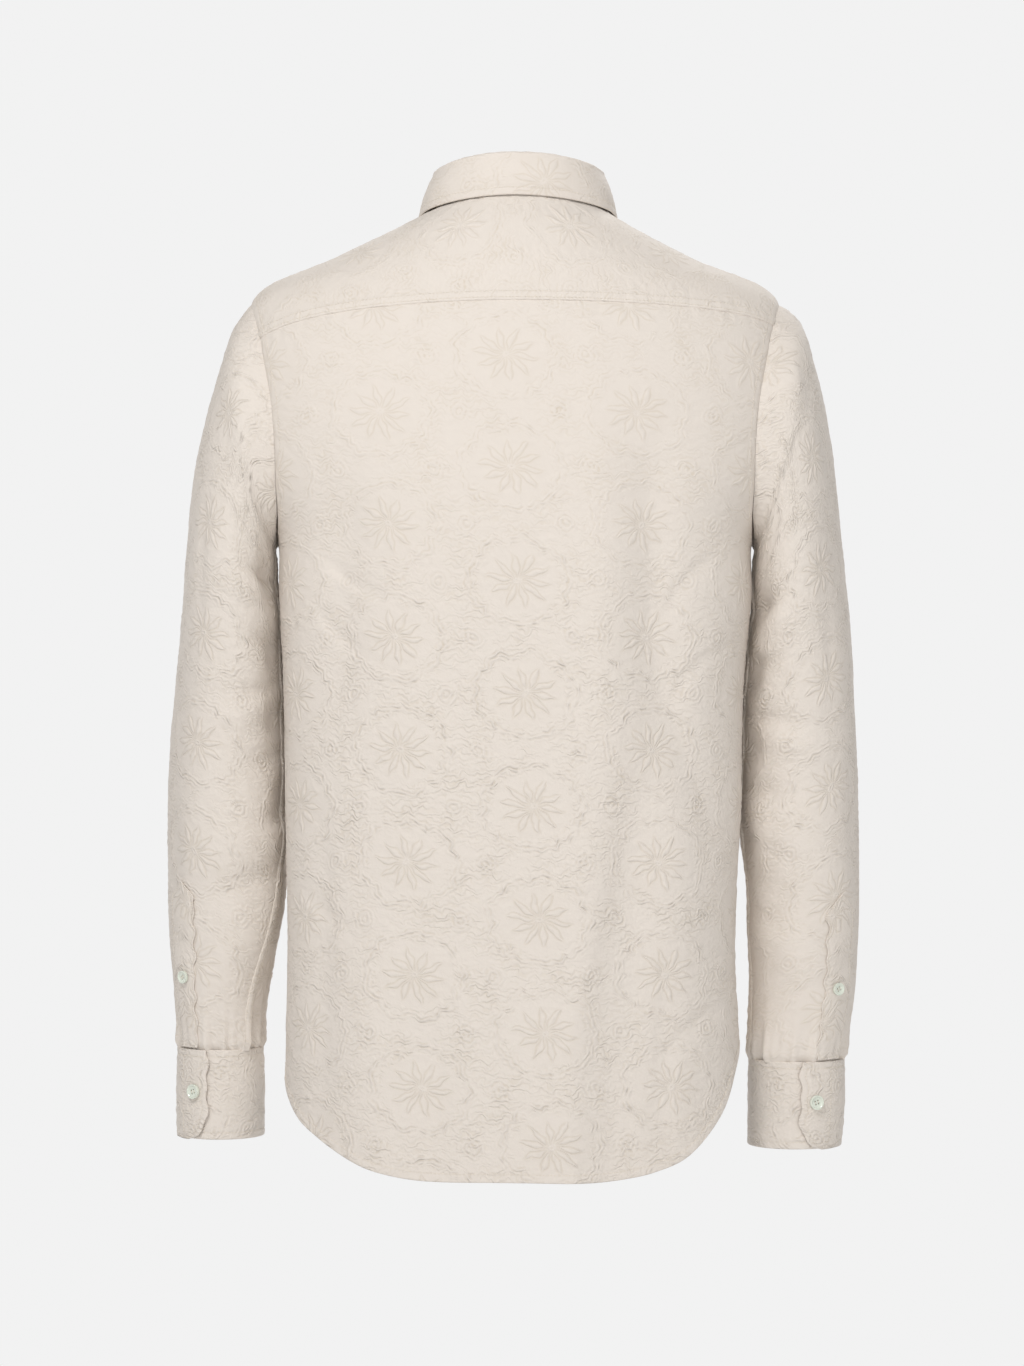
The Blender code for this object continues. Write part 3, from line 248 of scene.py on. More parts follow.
def ease(x):
    x = np.clip(x, 0, 1)
    return x * x * (3 - 2 * x)


def unit(v):
    return v / np.maximum(np.linalg.norm(v, axis=-1, keepdims=True), 1e-12)


def body_ring(angle, level):
    """The body with no folds. The angle runs from the centre back towards the wearer's left."""
    size = {name: smooth(level, BODY["level"], BODY[name]) for name in BODY if name != "level"}
    sine, cosine = np.sin(angle), np.cos(angle)
    power = 2 / size["square"]
    x = np.where(sine > 0, size["left"], -size["right"]) * np.abs(sine) ** power
    y = np.where(cosine > 0, size["back"], -size["front"]) * np.abs(cosine) ** power
    end = np.where(cosine > 0, level, size["z_front"])
    z = size["z_side"] + (end - size["z_side"]) * np.abs(cosine) ** 1.5
    return np.stack([x, y, z], axis=-1)


def normals(surface, a, b, step_a, step_b):
    """The outward normals of surface(a, b)."""
    da = surface(a + step_a, b) - surface(a - step_a, b)
    db = surface(a, b + step_b) - surface(a, b - step_b)
    return unit(np.cross(db, da))


def body_out(angle, level):
    return normals(body_ring, angle, level, 0.01, 0.002)


def fold_height(points, folds, reach):
    """How far long folds push the cloth out at these points. reach fades them at the sides."""
    out = np.zeros(points.shape[:-1])
    for path, half_width, depth in folds:
        heights = np.array([p[0] for p in path])
        places = np.array([p[1] for p in path])
        centre = smooth(points[..., 2], heights, places)
        top, bottom = heights.max(), heights.min()
        ends = ease((top + 0.04 - points[..., 2]) / 0.09) * ease((points[..., 2] - bottom + 0.04) / 0.09)
        out += depth * ends * np.exp(-(((points[..., 0] - centre) / half_width) ** 2))
    return out * reach


def crease_height(points, creases, reach):
    """How far short creases push the cloth out. Each bows a little and fades at its ends."""
    out = np.zeros(points.shape[:-1])
    for start_x, start_z, end_x, end_z, half_width, depth in creases:
        run_x, run_z = end_x - start_x, end_z - start_z
        length = math.hypot(run_x, run_z)
        from_x, from_z = points[..., 0] - start_x, points[..., 2] - start_z
        along = (from_x * run_x + from_z * run_z) / length**2
        off = (from_x * run_z - from_z * run_x) / length + 0.10 * length * (4 * along * (1 - along) - 0.5)
        fade = np.exp(-(np.maximum(np.abs(along - 0.5) - 0.25, 0) / 0.22) ** 2)
        steep = np.where(off > 0, 1.0, 0.6)
        out += depth * fade * np.exp(-((off / half_width / steep) ** 2))
    return out * reach


def body(angle, level, creased=True):
    """The outer face of the body with its folds and creases, or with the solid's folds alone."""
    angle, level = np.broadcast_arrays(np.asarray(angle, float), np.asarray(level, float))
    plain = body_ring(angle, level)
    push = np.zeros(angle.shape)
    halves = ((1, BACK_FOLDS, BACK_CREASES, 7), (-1, FRONT_FOLDS, FRONT_CREASES, 5))
    for facing, folds, creases, solid in halves:
        reach = ease((facing * np.cos(angle) - 0.05) * 3)
        push += fold_height(plain, folds if creased else folds[:solid], reach)
        if creased:
            push += crease_height(plain, creases, reach)
    return plain + body_out(angle, level) * push[..., None]


def armhole(turn, size=1.0, side=1):
    """Angle and level of the armhole. turn is 0 at the armpit, 90 at the back and 180 on top."""
    middle = (ARMPIT_LEVEL + SHOULDER_LEVEL) / 2
    half = (SHOULDER_LEVEL - ARMPIT_LEVEL) / 2
    level = middle - size * half * np.cos(turn)
    centre = SIDE_SEAM + (math.pi / 2 - SIDE_SEAM) * (1 - np.cos(turn)) / 2
    sine = np.sin(turn)
    reach = np.where(sine > 0, ARMHOLE_BACK, ARMHOLE_FRONT)
    angle = centre - size * reach * np.sign(sine) * np.abs(sine) ** 0.9
    return side * angle, level


def hem_level(angle):
    """The hem's height at an angle from the centre back."""
    turn = np.degrees((angle + math.pi) % (2 * math.pi) - math.pi)
    left, away = turn > 0, np.abs(turn)
    on_front = away > np.degrees(SIDE_SEAM)
    place = np.where(on_front, 180 - away, away)
    place = np.where(on_front, place * 95 / 85, place)
    side = {name: smooth(place, HEM["angle"], HEM[name]) for name in HEM if name != "angle"}
    back = np.where(left, side["back_left"], side["back_right"])
    return np.where(on_front, np.where(left, side["front_left"], side["front_right"]), back)


def yoke_level(angle):
    """The yoke seam's height across the back."""
    drop = np.where(angle > 0, YOKE_DROP_LEFT, YOKE_DROP_RIGHT)
    return YOKE_BACK_LEVEL - drop * (np.abs(angle) / math.radians(66)) ** 2


def yoke_corner(side):
    """The armhole's turn where the yoke seam meets it at the back."""
    turns = np.radians(np.linspace(95, 175, 1601))
    angles, levels = armhole(turns, 1.0, side)
    return turns[np.abs(levels - yoke_level(angles)).argmin()]


# Flowers of the weave, laid in columns with each column half a flower lower than the last.
FLOWER_ACROSS = 0.099    # from one column of flowers to the next
FLOWER_UP = 0.0865       # from flower to flower in a column
GRAIN_LEAN = 0.06
PETALS = 10
PETAL_TIP = 0.0285
FLOWER_SQUAT = 1.18      # flowers are so much wider than tall
PETAL_HALF = 0.0026      # half the width of a petal at its middle
PETAL_PUFF = 0.00062
RING_RADIUS = 0.0362     # the crinkled ring of small puffs round each flower
RING_SCALLOP = 0.0034
RING_SCALLOPS = 9
RING_HALF = 0.0048
LOOP_AWAY = 0.038        # the small loops lie so far to either side, half way to the next flower
LOOP_RADIUS = 0.0062
MATHS = {
    "SINE": np.sin,
    "ARCTAN2": np.arctan2,
    "SQRT": np.sqrt,
    "FLOOR": np.floor,
    "ABSOLUTE": np.abs,
    "MINIMUM": np.minimum,
    "MAXIMUM": np.maximum,
    "EXPONENT": np.exp,
}


class Wire:
    """A number that changes over a surface: a socket that Python's operators can reckon with."""

    def __init__(self, finish, socket):
        self.finish, self.socket = finish, socket

    def maths(self, operation, *values):
        return self.finish.node("ShaderNodeMath", {"operation": operation}, dict(enumerate(values)))

    def __add__(self, other):
        return self.maths("ADD", self, other)

    def __sub__(self, other):
        return self.maths("SUBTRACT", self, other)

    def __rsub__(self, other):
        return self.maths("SUBTRACT", other, self)

    def __mul__(self, other):
        return self.maths("MULTIPLY", self, other)

    def __truediv__(self, other):
        return self.maths("DIVIDE", self, other)

    def __neg__(self):
        return self.maths("MULTIPLY", self, -1)

    __radd__ = __add__
    __rmul__ = __mul__


class Finish:
    """A material and its nodes."""

    def __init__(self, name, settings):
        self.material = bpy.data.materials.new(name)
        self.material.use_nodes = True
        self.tree = self.material.node_tree
        self.shader = self.tree.nodes["Principled BSDF"]
        for socket, value in settings.items():
            self.shader.inputs[socket].default_value = value

    def node(self, kind, settings, inputs, output=0):
        """Adds a node, sets it, and joins its inputs to numbers or wires."""
        made = self.tree.nodes.new(kind)
        for name, value in settings.items():
            setattr(made, name, value)
        for socket, value in inputs.items():
            self.join(value, made.inputs[socket])
        return Wire(self, made.outputs[output])

    def join(self, value, socket):
        if isinstance(value, Wire):
            self.tree.links.new(value.socket, socket)
        else:
            socket.default_value = value

    def noise(self, places, scale, detail, **others):
        settings = {"Vector": places, "Scale": scale, "Detail": detail, **others}
        return self.node("ShaderNodeTexNoise", {}, settings)

    def colour(self, share, first, second):
        """A colour between two others."""
        mix = self.tree.nodes.new("ShaderNodeMix")
        mix.data_type = "RGBA"
        self.join(share, mix.inputs[0])
        self.join(first, mix.inputs[6])
        self.join(second, mix.inputs[7])
        return Wire(self, mix.outputs[2])


def work(operation, *values):
    """One step of maths, on plain numbers or on wires."""
    wires = [value for value in values if isinstance(value, Wire)]
    if wires:
        return wires[0].maths(operation, *values)
    return MATHS[operation](*values)


def bell(x):
    """One at nought, falling away softly on both sides."""
    return work("EXPONENT", -(x * x))


def rise(x):
    """From nought to one as x does, softly."""
    x = work("MINIMUM", work("MAXIMUM", x, 0.0), 1.0)
    return x * x * (3 - 2 * x)


def wave(x, length):
    return work("SINE", x * (2 * math.pi / length))


def flower_place(x, y):
    """Where a place of the cloth lies from the flower of its own cell."""
    column = work("FLOOR", x / FLOWER_ACROSS + 0.5)
    half = column * 0.5 - work("FLOOR", column * 0.5)
    row = work("FLOOR", y / FLOWER_UP - half + 0.5)
    return x - column * FLOWER_ACROSS, y - (row + half) * FLOWER_UP


def weave_lines(x, y):
    """Where a place lies in the pattern: its distance and turn round the flower, how far it is to
    the side of the nearest petal's middle, and its distance and turn round the nearest loop."""
    bent_x = x + 0.0009 * wave(y, 0.031) + 0.0005 * wave(y + 0.6 * x, 0.0113)
    bent_y = y + 0.0009 * wave(x, 0.027) + 0.0005 * wave(x - 0.7 * y, 0.0127)
    cell_x, cell_y = flower_place(bent_x, bent_y)
    cell_tall = cell_y * FLOWER_SQUAT
    away = work("SQRT", cell_x * cell_x + cell_tall * cell_tall + 1e-9)
    turn = work("ARCTAN2", cell_tall, cell_x)
    petal = turn * (PETALS / 2 / math.pi) - 0.25
    aside = (petal - work("FLOOR", petal + 0.5)) * (2 * math.pi / PETALS) * away
    loop_x = work("ABSOLUTE", cell_x) - LOOP_AWAY
    loop_y = work("ABSOLUTE", cell_y) - FLOWER_UP / 2
    from_loop = work("SQRT", loop_x * loop_x + loop_y * loop_y + 1e-9)
    return away, turn, work("ABSOLUTE", aside), from_loop


def petal_half(away, turn):
    """Half a petal's width at a distance from the flower's middle: a slim leaf, some shorter."""
    tip = PETAL_TIP + 0.0016 * work("SINE", turn * 3.0 + 1.0)
    return PETAL_HALF * rise((away - 0.0020) / 0.0110) * rise((tip - away) / 0.0130)


def ring_radius(turn):
    """The ring's radius: scallops that meet in points towards the flower."""
    return RING_RADIUS + RING_SCALLOP * work("ABSOLUTE", work("SINE", turn * (RING_SCALLOPS / 2)))


def puffs(x, y):
    """The broad relief of the cloth: petals, the ring round them, loops and loose ground."""
    away, turn, aside, from_loop = weave_lines(x, y)
    half = petal_half(away, turn) + 0.0004
    petal = bell(aside / half) * rise((away - 0.0030) / 0.0060) * rise((PETAL_TIP + 0.0010 - away) / 0.0060)
    out = PETAL_PUFF * petal + 0.00030 * bell((away - ring_radius(turn)) / 0.0034)
    out = out + 0.00034 * bell((from_loop - LOOP_RADIUS) / 0.0024) + 0.0003 * bell(from_loop / 0.0026)
    ripple = wave(y + 0.0020 * wave(x, 0.021) + 0.0016 * wave(x + y, 0.043), 0.0083)
    return out + 0.00015 * ripple * (0.7 + 0.5 * wave(x + 0.3 * y, 0.047))


def tight_lines(x, y, patchy, broken):
    """The fine relief: sharp woven lines that edge the petals, ring and loops, and crinkles."""
    away, turn, aside, from_loop = weave_lines(x, y)
    half = petal_half(away, turn)
    in_flower = rise((away - 0.0010) / 0.0020) * rise((PETAL_TIP - away) / 0.0060)
    out = in_flower * (0.00007 * bell(aside / 0.0009) - 0.00019 * bell((aside - half) / 0.0008))
    out = out + 0.00016 * bell((away - 0.0020) / 0.0008) - 0.00012 * bell(away / 0.0009)
    from_ring = away - ring_radius(turn)
    wiggle = from_ring + 0.0008 * work("SINE", turn * 22.0 + 9.0 * patchy)
    in_ring = bell(from_ring / RING_HALF)
    out = out + 0.00030 * in_ring * (broken * 2.4 - 0.75) * wave(wiggle, 0.0041)
    near_loop = bell((from_loop - 0.5 * LOOP_RADIUS) / LOOP_RADIUS)
    out = out + 0.00015 * near_loop * wave(from_loop + 0.0014 * patchy, 0.0039)
    crinkle = wave(y + 0.0014 * wave(x + 0.010 * patchy, 0.0155) + 0.012 * broken, 0.0043)
    ground = rise((away - PETAL_TIP) / 0.004) * (1 - 0.7 * in_ring)
    return out + 0.00020 * crinkle * ground * (patchy * 1.9 - 0.55)


def lattice(across, up, lay):
    """Turns lengths along a piece into places among the flowers."""
    across0, up0, lean, crosswise = lay
    x, y = across - across0 - lean * (up - up0), up - up0
    return (y, x) if crosswise else (x, y)


CLOTH = (0.702, 0.640, 0.578, 1)
# Painted shade: a darker, warmer colour laid into the grooves of the weave, where shade falls.
CLOTH_GROOVE_SHADE = (0.600, 0.522, 0.425, 1)
THREAD_COLOUR = (0.72, 0.655, 0.565, 1)
cloth = Finish(
    "puffed_cloth",
    {"Roughness": 0.88, "Specular IOR Level": 0.22, "Sheen Weight": 0.12, "Sheen Roughness": 0.45},
)
places = cloth.node("ShaderNodeUVMap", {"uv_map": "cloth"}, {})
split = cloth.tree.nodes.new("ShaderNodeSeparateXYZ")
cloth.join(places, split.inputs[0])
cloth_x, cloth_y = Wire(cloth, split.outputs[0]), Wire(cloth, split.outputs[1])
patchy = cloth.noise(places, 38.0, 1.0, Roughness=0.6)
broken = cloth.noise(places, 150.0, 1.0, Roughness=0.6)
lines = tight_lines(cloth_x, cloth_y, patchy, broken)
crepe = cloth.noise(places, 620.0, 2.0, Roughness=0.6)
drawn = 1.60 - 0.95 * rise((cloth_y + 0.02) / 0.24)
height = (lines + 0.00018 * crepe + 0.00050 * broken) * drawn
bump = cloth.node("ShaderNodeBump", {}, {"Strength": 1.0, "Distance": 1.0, "Height": height})
cloth.join(bump, cloth.shader.inputs["Normal"])
# Painted shade: the colour goes darker towards the groove colour where the woven lines sink, as shade in the
# grooves, plus a random mottle of the cloth's own tone.
groove_shade_and_mottle = work("MAXIMUM", -1 * lines, 0.0) * 2200.0 + (patchy - 0.5) * 0.3
groove_shade_and_mottle = work("MINIMUM", work("MAXIMUM", groove_shade_and_mottle, 0.0), 1.0)
cloth.join(cloth.colour(groove_shade_and_mottle, CLOTH, CLOTH_GROOVE_SHADE), cloth.shader.inputs["Base Color"])

EDGE_ROWS = [0.0010, 0.0022, 0.0036, 0.0050, 0.0060, 0.0070]
FINE_START = 0.0084      # the even grid starts so far from an edge
SEAM_REACH = 0.026       # sewing draws the cloth so far from a seam


def lengths_of(points):
    steps = np.linalg.norm(np.diff(points, axis=0), axis=-1)
    return np.concatenate([np.zeros((1, *steps.shape[1:])), np.cumsum(steps, axis=0)])


def points_at(marks, steps, line):
    """The points of a line at marks, from the marks of its own points."""
    return np.stack([np.interp(marks, steps, column) for column in np.transpose(line)], axis=-1)


class Lay:
    """How a piece's cloth lies on its form: lengths across and up it from one centre."""

    STEPS = 160

    def __init__(self, surface, low, high, centre, lay):
        self.a, self.b = (np.linspace(low[k], high[k], self.STEPS + 1) for k in (0, 1))
        grid = surface(*np.meshgrid(self.a, self.b, indexing="ij"))
        across = lengths_of(grid)
        up = lengths_of(grid.swapaxes(0, 1)).swapaxes(0, 1)
        i, j = np.abs(self.a - centre[0]).argmin(), np.abs(self.b - centre[1]).argmin()
        self.across, self.up = across - across[i], up - up[:, j][:, None]
        self.lay = lay

    def at(self, a, b):
        """Places among the flowers for places (a, b) of the form."""
        fa = np.clip((a - self.a[0]) / (self.a[1] - self.a[0]), 0, self.STEPS - 0.001)
        fb = np.clip((b - self.b[0]) / (self.b[1] - self.b[0]), 0, self.STEPS - 0.001)
        i, j = fa.astype(int), fb.astype(int)
        p, q = fa - i, fb - j

        def mean(values):
            low = values[i, j] * (1 - p) + values[i + 1, j] * p
            high = values[i, j + 1] * (1 - p) + values[i + 1, j + 1] * p
            return low * (1 - q) + high * q

        return lattice(mean(self.across), mean(self.up), self.lay)


def body_lay(low, high, lay):
    """The flowers as they lie on the body's long folds, without the finer creases."""
    centre = (0 if low[0] < 0 else math.pi, -0.42)
    return Lay(lambda angle, level: body(angle, level, False), low, high, centre, lay)


def away_from(points, line, reach):
    """How far points lie from a line, and how far along it each one's nearest place is."""
    steps = lengths_of(line)
    marks = np.arange(0, steps[-1], 0.0003)
    fine = points_at(marks, steps, line)
    tree = kdtree.KDTree(len(fine))
    for i, spot in enumerate(fine):
        tree.insert(spot, i)
    tree.balance()
    coarse = fine[::25]
    away, along = np.full(len(points), reach), np.zeros(len(points))
    for start in range(0, len(points), 4000):
        part = points[start:start + 4000]
        gap = np.linalg.norm(part[:, None] - coarse[None], axis=-1).min(axis=1)
        for i in np.nonzero(gap < reach + 0.006)[0]:
            _, index, distance = tree.find(part[i])
            away[start + i], along[start + i] = min(distance, reach), marks[index]
    return away, along


def uneven(along, seed):
    """Puckers along a seam: waves of unlike lengths."""
    return (
        np.sin(along / 0.0017 + seed)
        + 0.8 * np.sin(along / 0.0029 + 2.1 * seed)
        + 0.7 * np.sin(along / 0.0061 + 3.7 * seed)
    ) / 2.5


def falling(away, width):
    """One at nought, falling away softly over a width."""
    return np.exp(-((away / width) ** 2))


def seam_height(away, along, kind, seed):
    """What sewing does to the cloth beside an edge: a dip, puckers, or a hem's second layer."""
    pucker = uneven(along, seed) * falling(away, 0.0095)
    if kind == "hem":
        fold = 0.00055 * (1 - ease((away - 0.0058) / 0.0012))
        thread = 0.00045 * falling(away - 0.0061, 0.0008)
        return fold - thread + 0.00055 * pucker * ease(away / 0.003)
    if kind == "lapped":
        fold = 0.00060 * (1 - ease((away - 0.0062) / 0.0016))
        return fold - 0.0004 * falling(away, 0.001) + 0.0004 * pucker
    return 0.00045 * pucker * ease(away / 0.002) - 0.0006 * falling(away, 0.0018)


def resampled(surface, run, pitch):
    """Places of a run, at even lengths along the cloth."""
    steps = lengths_of(surface(run[:, 0], run[:, 1]))
    count = max(2, int(round(steps[-1] / pitch)))
    return points_at(np.linspace(0, steps[-1], count + 1), steps, run)


class Flat:
    """A stretch of the body's angles and levels to lengths, so that a grid on it is even."""

    def __init__(self, low, high, ring_level, line_angle):
        self.a, self.b = (np.linspace(low[k], high[k], 801) for k in (0, 1))
        self.s = lengths_of(body_ring(self.a, np.full(len(self.a), ring_level)))
        self.t = lengths_of(body_ring(np.full(len(self.b), line_angle), self.b))

    def to(self, places):
        a, b = places.T
        return np.stack([np.interp(a, self.a, self.s), np.interp(b, self.b, self.t)], axis=-1)

    def back(self, places):
        s, t = places.T
        return np.stack([np.interp(s, self.s, self.a), np.interp(t, self.t, self.b)], axis=-1)


def inside_loop(loop, places):
    """Whether places lie inside a loop, and how far they lie from it."""
    following = np.roll(loop, -1, axis=0)
    span = following - loop
    within, away = np.zeros(len(places), bool), np.zeros(len(places))
    for start in range(0, len(places), 3000):
        x = places[start:start + 3000, 0][:, None]
        y = places[start:start + 3000, 1][:, None]
        flat = np.where(span[:, 1] == 0, 1e-15, span[:, 1])
        level_with = (following[:, 1] > y) != (loop[:, 1] > y)
        crosses = level_with & (x < span[:, 0] * (y - loop[:, 1]) / flat + loop[:, 0])
        within[start:start + 3000] = crosses.sum(axis=1) % 2 == 1
        share = ((x - loop[:, 0]) * span[:, 0] + (y - loop[:, 1]) * span[:, 1]) / (span**2).sum(axis=1)
        share = np.clip(share, 0, 1)
        gap = np.hypot(x - loop[:, 0] - share * span[:, 0], y - loop[:, 1] - share * span[:, 1])
        away[start:start + 3000] = gap.min(axis=1)
    return within, away


def mesh_object(name, points, faces, places_xy, finish):
    """An object of a mesh whose places among the flowers are its UV map."""
    mesh = bpy.data.meshes.new(name)
    mesh.from_pydata(np.asarray(points, float).tolist(), [], faces)
    mesh.polygons.foreach_set("use_smooth", np.ones(len(mesh.polygons), bool))
    corner = np.zeros(len(mesh.loops), np.int32)
    mesh.loops.foreach_get("vertex_index", corner)
    layer = mesh.uv_layers.new(name="cloth")
    layer.data.foreach_set("uv", np.asarray(places_xy, np.float32)[corner].ravel())
    mesh.materials.append(finish.material)
    mesh.update()
    obj = bpy.data.objects.new(name, mesh)
    stage.collection.objects.link(obj)
    return obj


def declare(obj, node):
    """Says what a piece is: it rides on the shirt's one body and stands for its solid."""
    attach(obj, "root")
    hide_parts(node)


cloths = {}


def cloth_piece(node, points, faces, places_xy):
    """A piece of cloth in the place of its solid."""
    obj = mesh_object(node, points, faces, places_xy, cloth)
    declare(obj, node)
    cloths[node] = obj


def looks_along(corners, out):
    """Whether a face with these corners looks along a normal."""
    return np.dot(np.cross(corners[1] - corners[0], corners[2] - corners[0]), out) > 0


def quads_of(index):
    """The faces between the points of a grid, from their numbers."""
    return np.stack([index[:-1, :-1], index[:-1, 1:], index[1:, 1:], index[1:, :-1]], axis=-1).reshape(-1, 4)


def panel(name, edges, flat_map, lay, pitch=0.0020):
    """A fine panel of cloth inside its edges, with its relief, its sewn edges and its hem.

    edges lists, all round, a kind and the places along it, and pitch is the length between two
    points of the fine cloth."""
    loop, lines_of, on_hem = [], [], []
    for kind, run in edges:
        fine = resampled(body_ring, run, pitch)
        lines_of.append((kind, body(fine[:, 0], fine[:, 1])))
        loop.append(fine[:-1])
        on_hem.append(np.full(len(fine) - 1, kind == "hem"))
    loop = np.concatenate(loop)
    flat_loop = flat_map.to(loop)
    turned = np.roll(flat_loop, -1, axis=0) - np.roll(flat_loop, 1, axis=0)
    inward = unit(np.stack([-turned[:, 1], turned[:, 0]], axis=-1))
    if inside_loop(flat_loop, flat_loop[:40] + inward[:40] * 0.001)[0].mean() < 0.5:
        inward = -inward
    spots = []
    for row, away in enumerate(EDGE_ROWS):
        moved = flat_loop + inward * away
        if row % 2:
            moved = (moved + np.roll(moved, -1, axis=0)) / 2
        within, gap = inside_loop(flat_loop, moved)
        spots.append(moved[within & (gap > away * 0.93)])
    low, high = flat_loop.min(axis=0), flat_loop.max(axis=0)
    ys = np.arange(low[1], high[1], pitch * 0.87)
    xs = np.arange(low[0], high[0], pitch)
    grid = np.stack(np.meshgrid(xs, ys, indexing="ij"), axis=-1)
    grid[:, 1::2, 0] += pitch / 2
    grid = grid.reshape(-1, 2)
    within, gap = inside_loop(flat_loop, grid)
    spots.append(grid[within & (gap > FINE_START)])
    flat_places = np.concatenate([flat_loop, *spots])
    rim = len(loop)
    made = delaunay_2d_cdt(
        [Vector(p) for p in flat_places], [(i, (i + 1) % rim) for i in range(rim)], [], 1, 1e-8
    )
    order = [origin[0] for origin in made[3]]
    faces = [[order[i] for i in face] for face in made[2]]
    places = np.concatenate([loop, flat_map.back(flat_places[rim:])])
    form, out = body(places[:, 0], places[:, 1]), body_out(places[:, 0], places[:, 1])
    x, y = lay.at(places[:, 0], places[:, 1])
    quiet, sewn = np.ones(len(form)), np.zeros(len(form))
    for seed, (kind, line) in enumerate(lines_of):
        away, along = away_from(form, line, SEAM_REACH)
        sewn += seam_height(away, along, kind, seed + 1.3) * (away < SEAM_REACH)
        quiet = np.minimum(quiet, 0.15 + 0.85 * ease((away - 0.001) / 0.007))
    points = form + out * (puffs(x, y) * quiet + sewn)[:, None]
    middle = faces[len(faces) // 2]
    if not looks_along(points[middle], out[middle[0]]):
        faces = [face[::-1] for face in faces]
    uv, on_hem = np.stack([x, y], axis=-1), np.concatenate(on_hem)
    points, faces, uv = turned_edges(points, faces, out[:rim], uv, on_hem)
    cloth_piece(name, points, faces, uv)


def turned_edges(points, faces, out, uv, on_hem):
    """Turns the rim in: a short return at a seam, and a whole second layer at the hem."""
    rim = len(on_hem)
    edge = points[:rim]
    along = unit(np.roll(edge, -1, axis=0) - np.roll(edge, 1, axis=0))
    inward = np.cross(out, along)
    if np.einsum("ij,ij->i", inward, points.mean(axis=0) - edge).mean() < 0:
        inward = -inward
    round_rim = np.concatenate([on_hem[-8:], on_hem, on_hem[:8]]).astype(float)
    soft = np.convolve(round_rim, np.ones(9) / 9, "same")[8:-8]
    hem = [(-0.0003, 0.0006), (-0.0001, 0.0014), (0.0010, 0.0020), (0.0062, 0.0020), (0.0068, 0.0008)]
    seam = [(-0.0003, 0.0003), (-0.0005, 0.0007), (-0.0006, 0.0011), (-0.0006, 0.0015), (-0.0004, 0.0016)]
    rows, uvs = [points], [uv]
    for (hem_in, hem_down), (seam_in, seam_down) in zip(hem, seam):
        move_in = soft * hem_in + (1 - soft) * seam_in
        down = soft * hem_down + (1 - soft) * seam_down
        rows.append(edge + inward * move_in[:, None] - out * down[:, None])
        uvs.append(uv[:rim] + [0.0007 * len(rows), 0.0011 * len(rows)])
    turned = len(points) + np.arange(len(hem) * rim).reshape(len(hem), rim)
    index = np.concatenate([np.arange(rim)[None], turned])
    points = np.concatenate(rows)
    quads = quads_of(np.concatenate([index, index[:, :1]], axis=1).T)
    if looks_along(points[quads[0]], inward[0]):
        quads = quads[:, ::-1]
    return points, faces + quads.tolist(), np.concatenate(uvs)


def places_run(angles, levels):
    return np.stack(np.broadcast_arrays(np.asarray(angles, float), np.asarray(levels, float)), axis=-1)


def arm_run(start, end, side):
    return places_run(*armhole(np.linspace(start, end, 400), 1.0, side))


def hem_run(start, end):
    angles = np.linspace(start, end, 500)
    return places_run(angles, hem_level(angles))


def side_run(side, up):
    levels = np.linspace(float(hem_level(np.array(side * SIDE_SEAM))), ARMPIT_LEVEL, 200)
    run = places_run(side * SIDE_SEAM, levels)
    return run if up else run[::-1]


corner_left, corner_right = yoke_corner(1), yoke_corner(-1)
seam_left = armhole(corner_left, 1.0, 1)[0]
seam_right = armhole(corner_right, 1.0, -1)[0]
yoke_angles = np.linspace(seam_left, seam_right, 400)
back_edges = [
    ("hem", hem_run(-SIDE_SEAM, SIDE_SEAM)),
    ("seam", side_run(1, True)),
    ("seam", arm_run(0, corner_left, 1)),
    ("seam", places_run(yoke_angles, yoke_level(yoke_angles))),
    ("seam", arm_run(corner_right, 0, -1)),
    ("seam", side_run(-1, False)),
]
back_lay = body_lay((-1.8, -0.76), (1.8, 0.022), (-0.008, 0.048, GRAIN_LEAN, False))
back_flat = Flat((-1.8, -0.80), (1.8, 0.022), -0.30, 0.0)
panel("back", back_edges, back_flat, back_lay)

# Yoke: one piece over both shoulders, cut crosswise, so that its flowers lie on their side.
NECK_ANGLES = np.linspace(YOKE_NECK_ANGLE, -YOKE_NECK_ANGLE, 300)


def shoulder_run(side):
    """The front yoke seam, from the armhole to the neck."""
    angle, level = armhole(YOKE_FRONT_TURN, 1.0, side)
    levels = np.linspace(level, NECK_LEVEL, 150)
    share = (levels - level) / (NECK_LEVEL - level)
    return places_run(angle + (side * YOKE_NECK_ANGLE - angle) * share, levels)


yoke_edges = [
    ("lapped", places_run(yoke_angles, yoke_level(yoke_angles))[::-1]),
    ("seam", arm_run(corner_left, YOKE_FRONT_TURN, 1)),
    ("seam", shoulder_run(1)),
    ("seam", places_run(NECK_ANGLES, NECK_LEVEL)),
    ("seam", shoulder_run(-1)[::-1]),
    ("seam", arm_run(YOKE_FRONT_TURN, corner_right, -1)),
]
yoke_lay = body_lay((-2.2, -0.76), (2.2, 0.022), (-5.5 * FLOWER_UP, 0.424, 0, True))
yoke_flat = Flat((-2.3, -0.13), (2.3, 0.03), -0.085, math.radians(50))
panel("yoke", yoke_edges, yoke_flat, yoke_lay)

# Fronts: two plain panels that meet under the placket, each sewn to the yoke, sleeve and back.
FRONT_MEET = 0.0155      # the fronts meet so far from the middle, under the placket
FRONT_HEM = -0.7255
SEAM = 0.0003


def angle_at(x, level):
    """The front angle at which the body has this x."""
    left, right, square = (smooth(level, BODY["level"], BODY[name]) for name in ("left", "right", "square"))
    size = np.where(x > 0, left, right)
    return math.pi - np.sign(x) * np.arcsin((np.abs(x) / size) ** (square / 2))


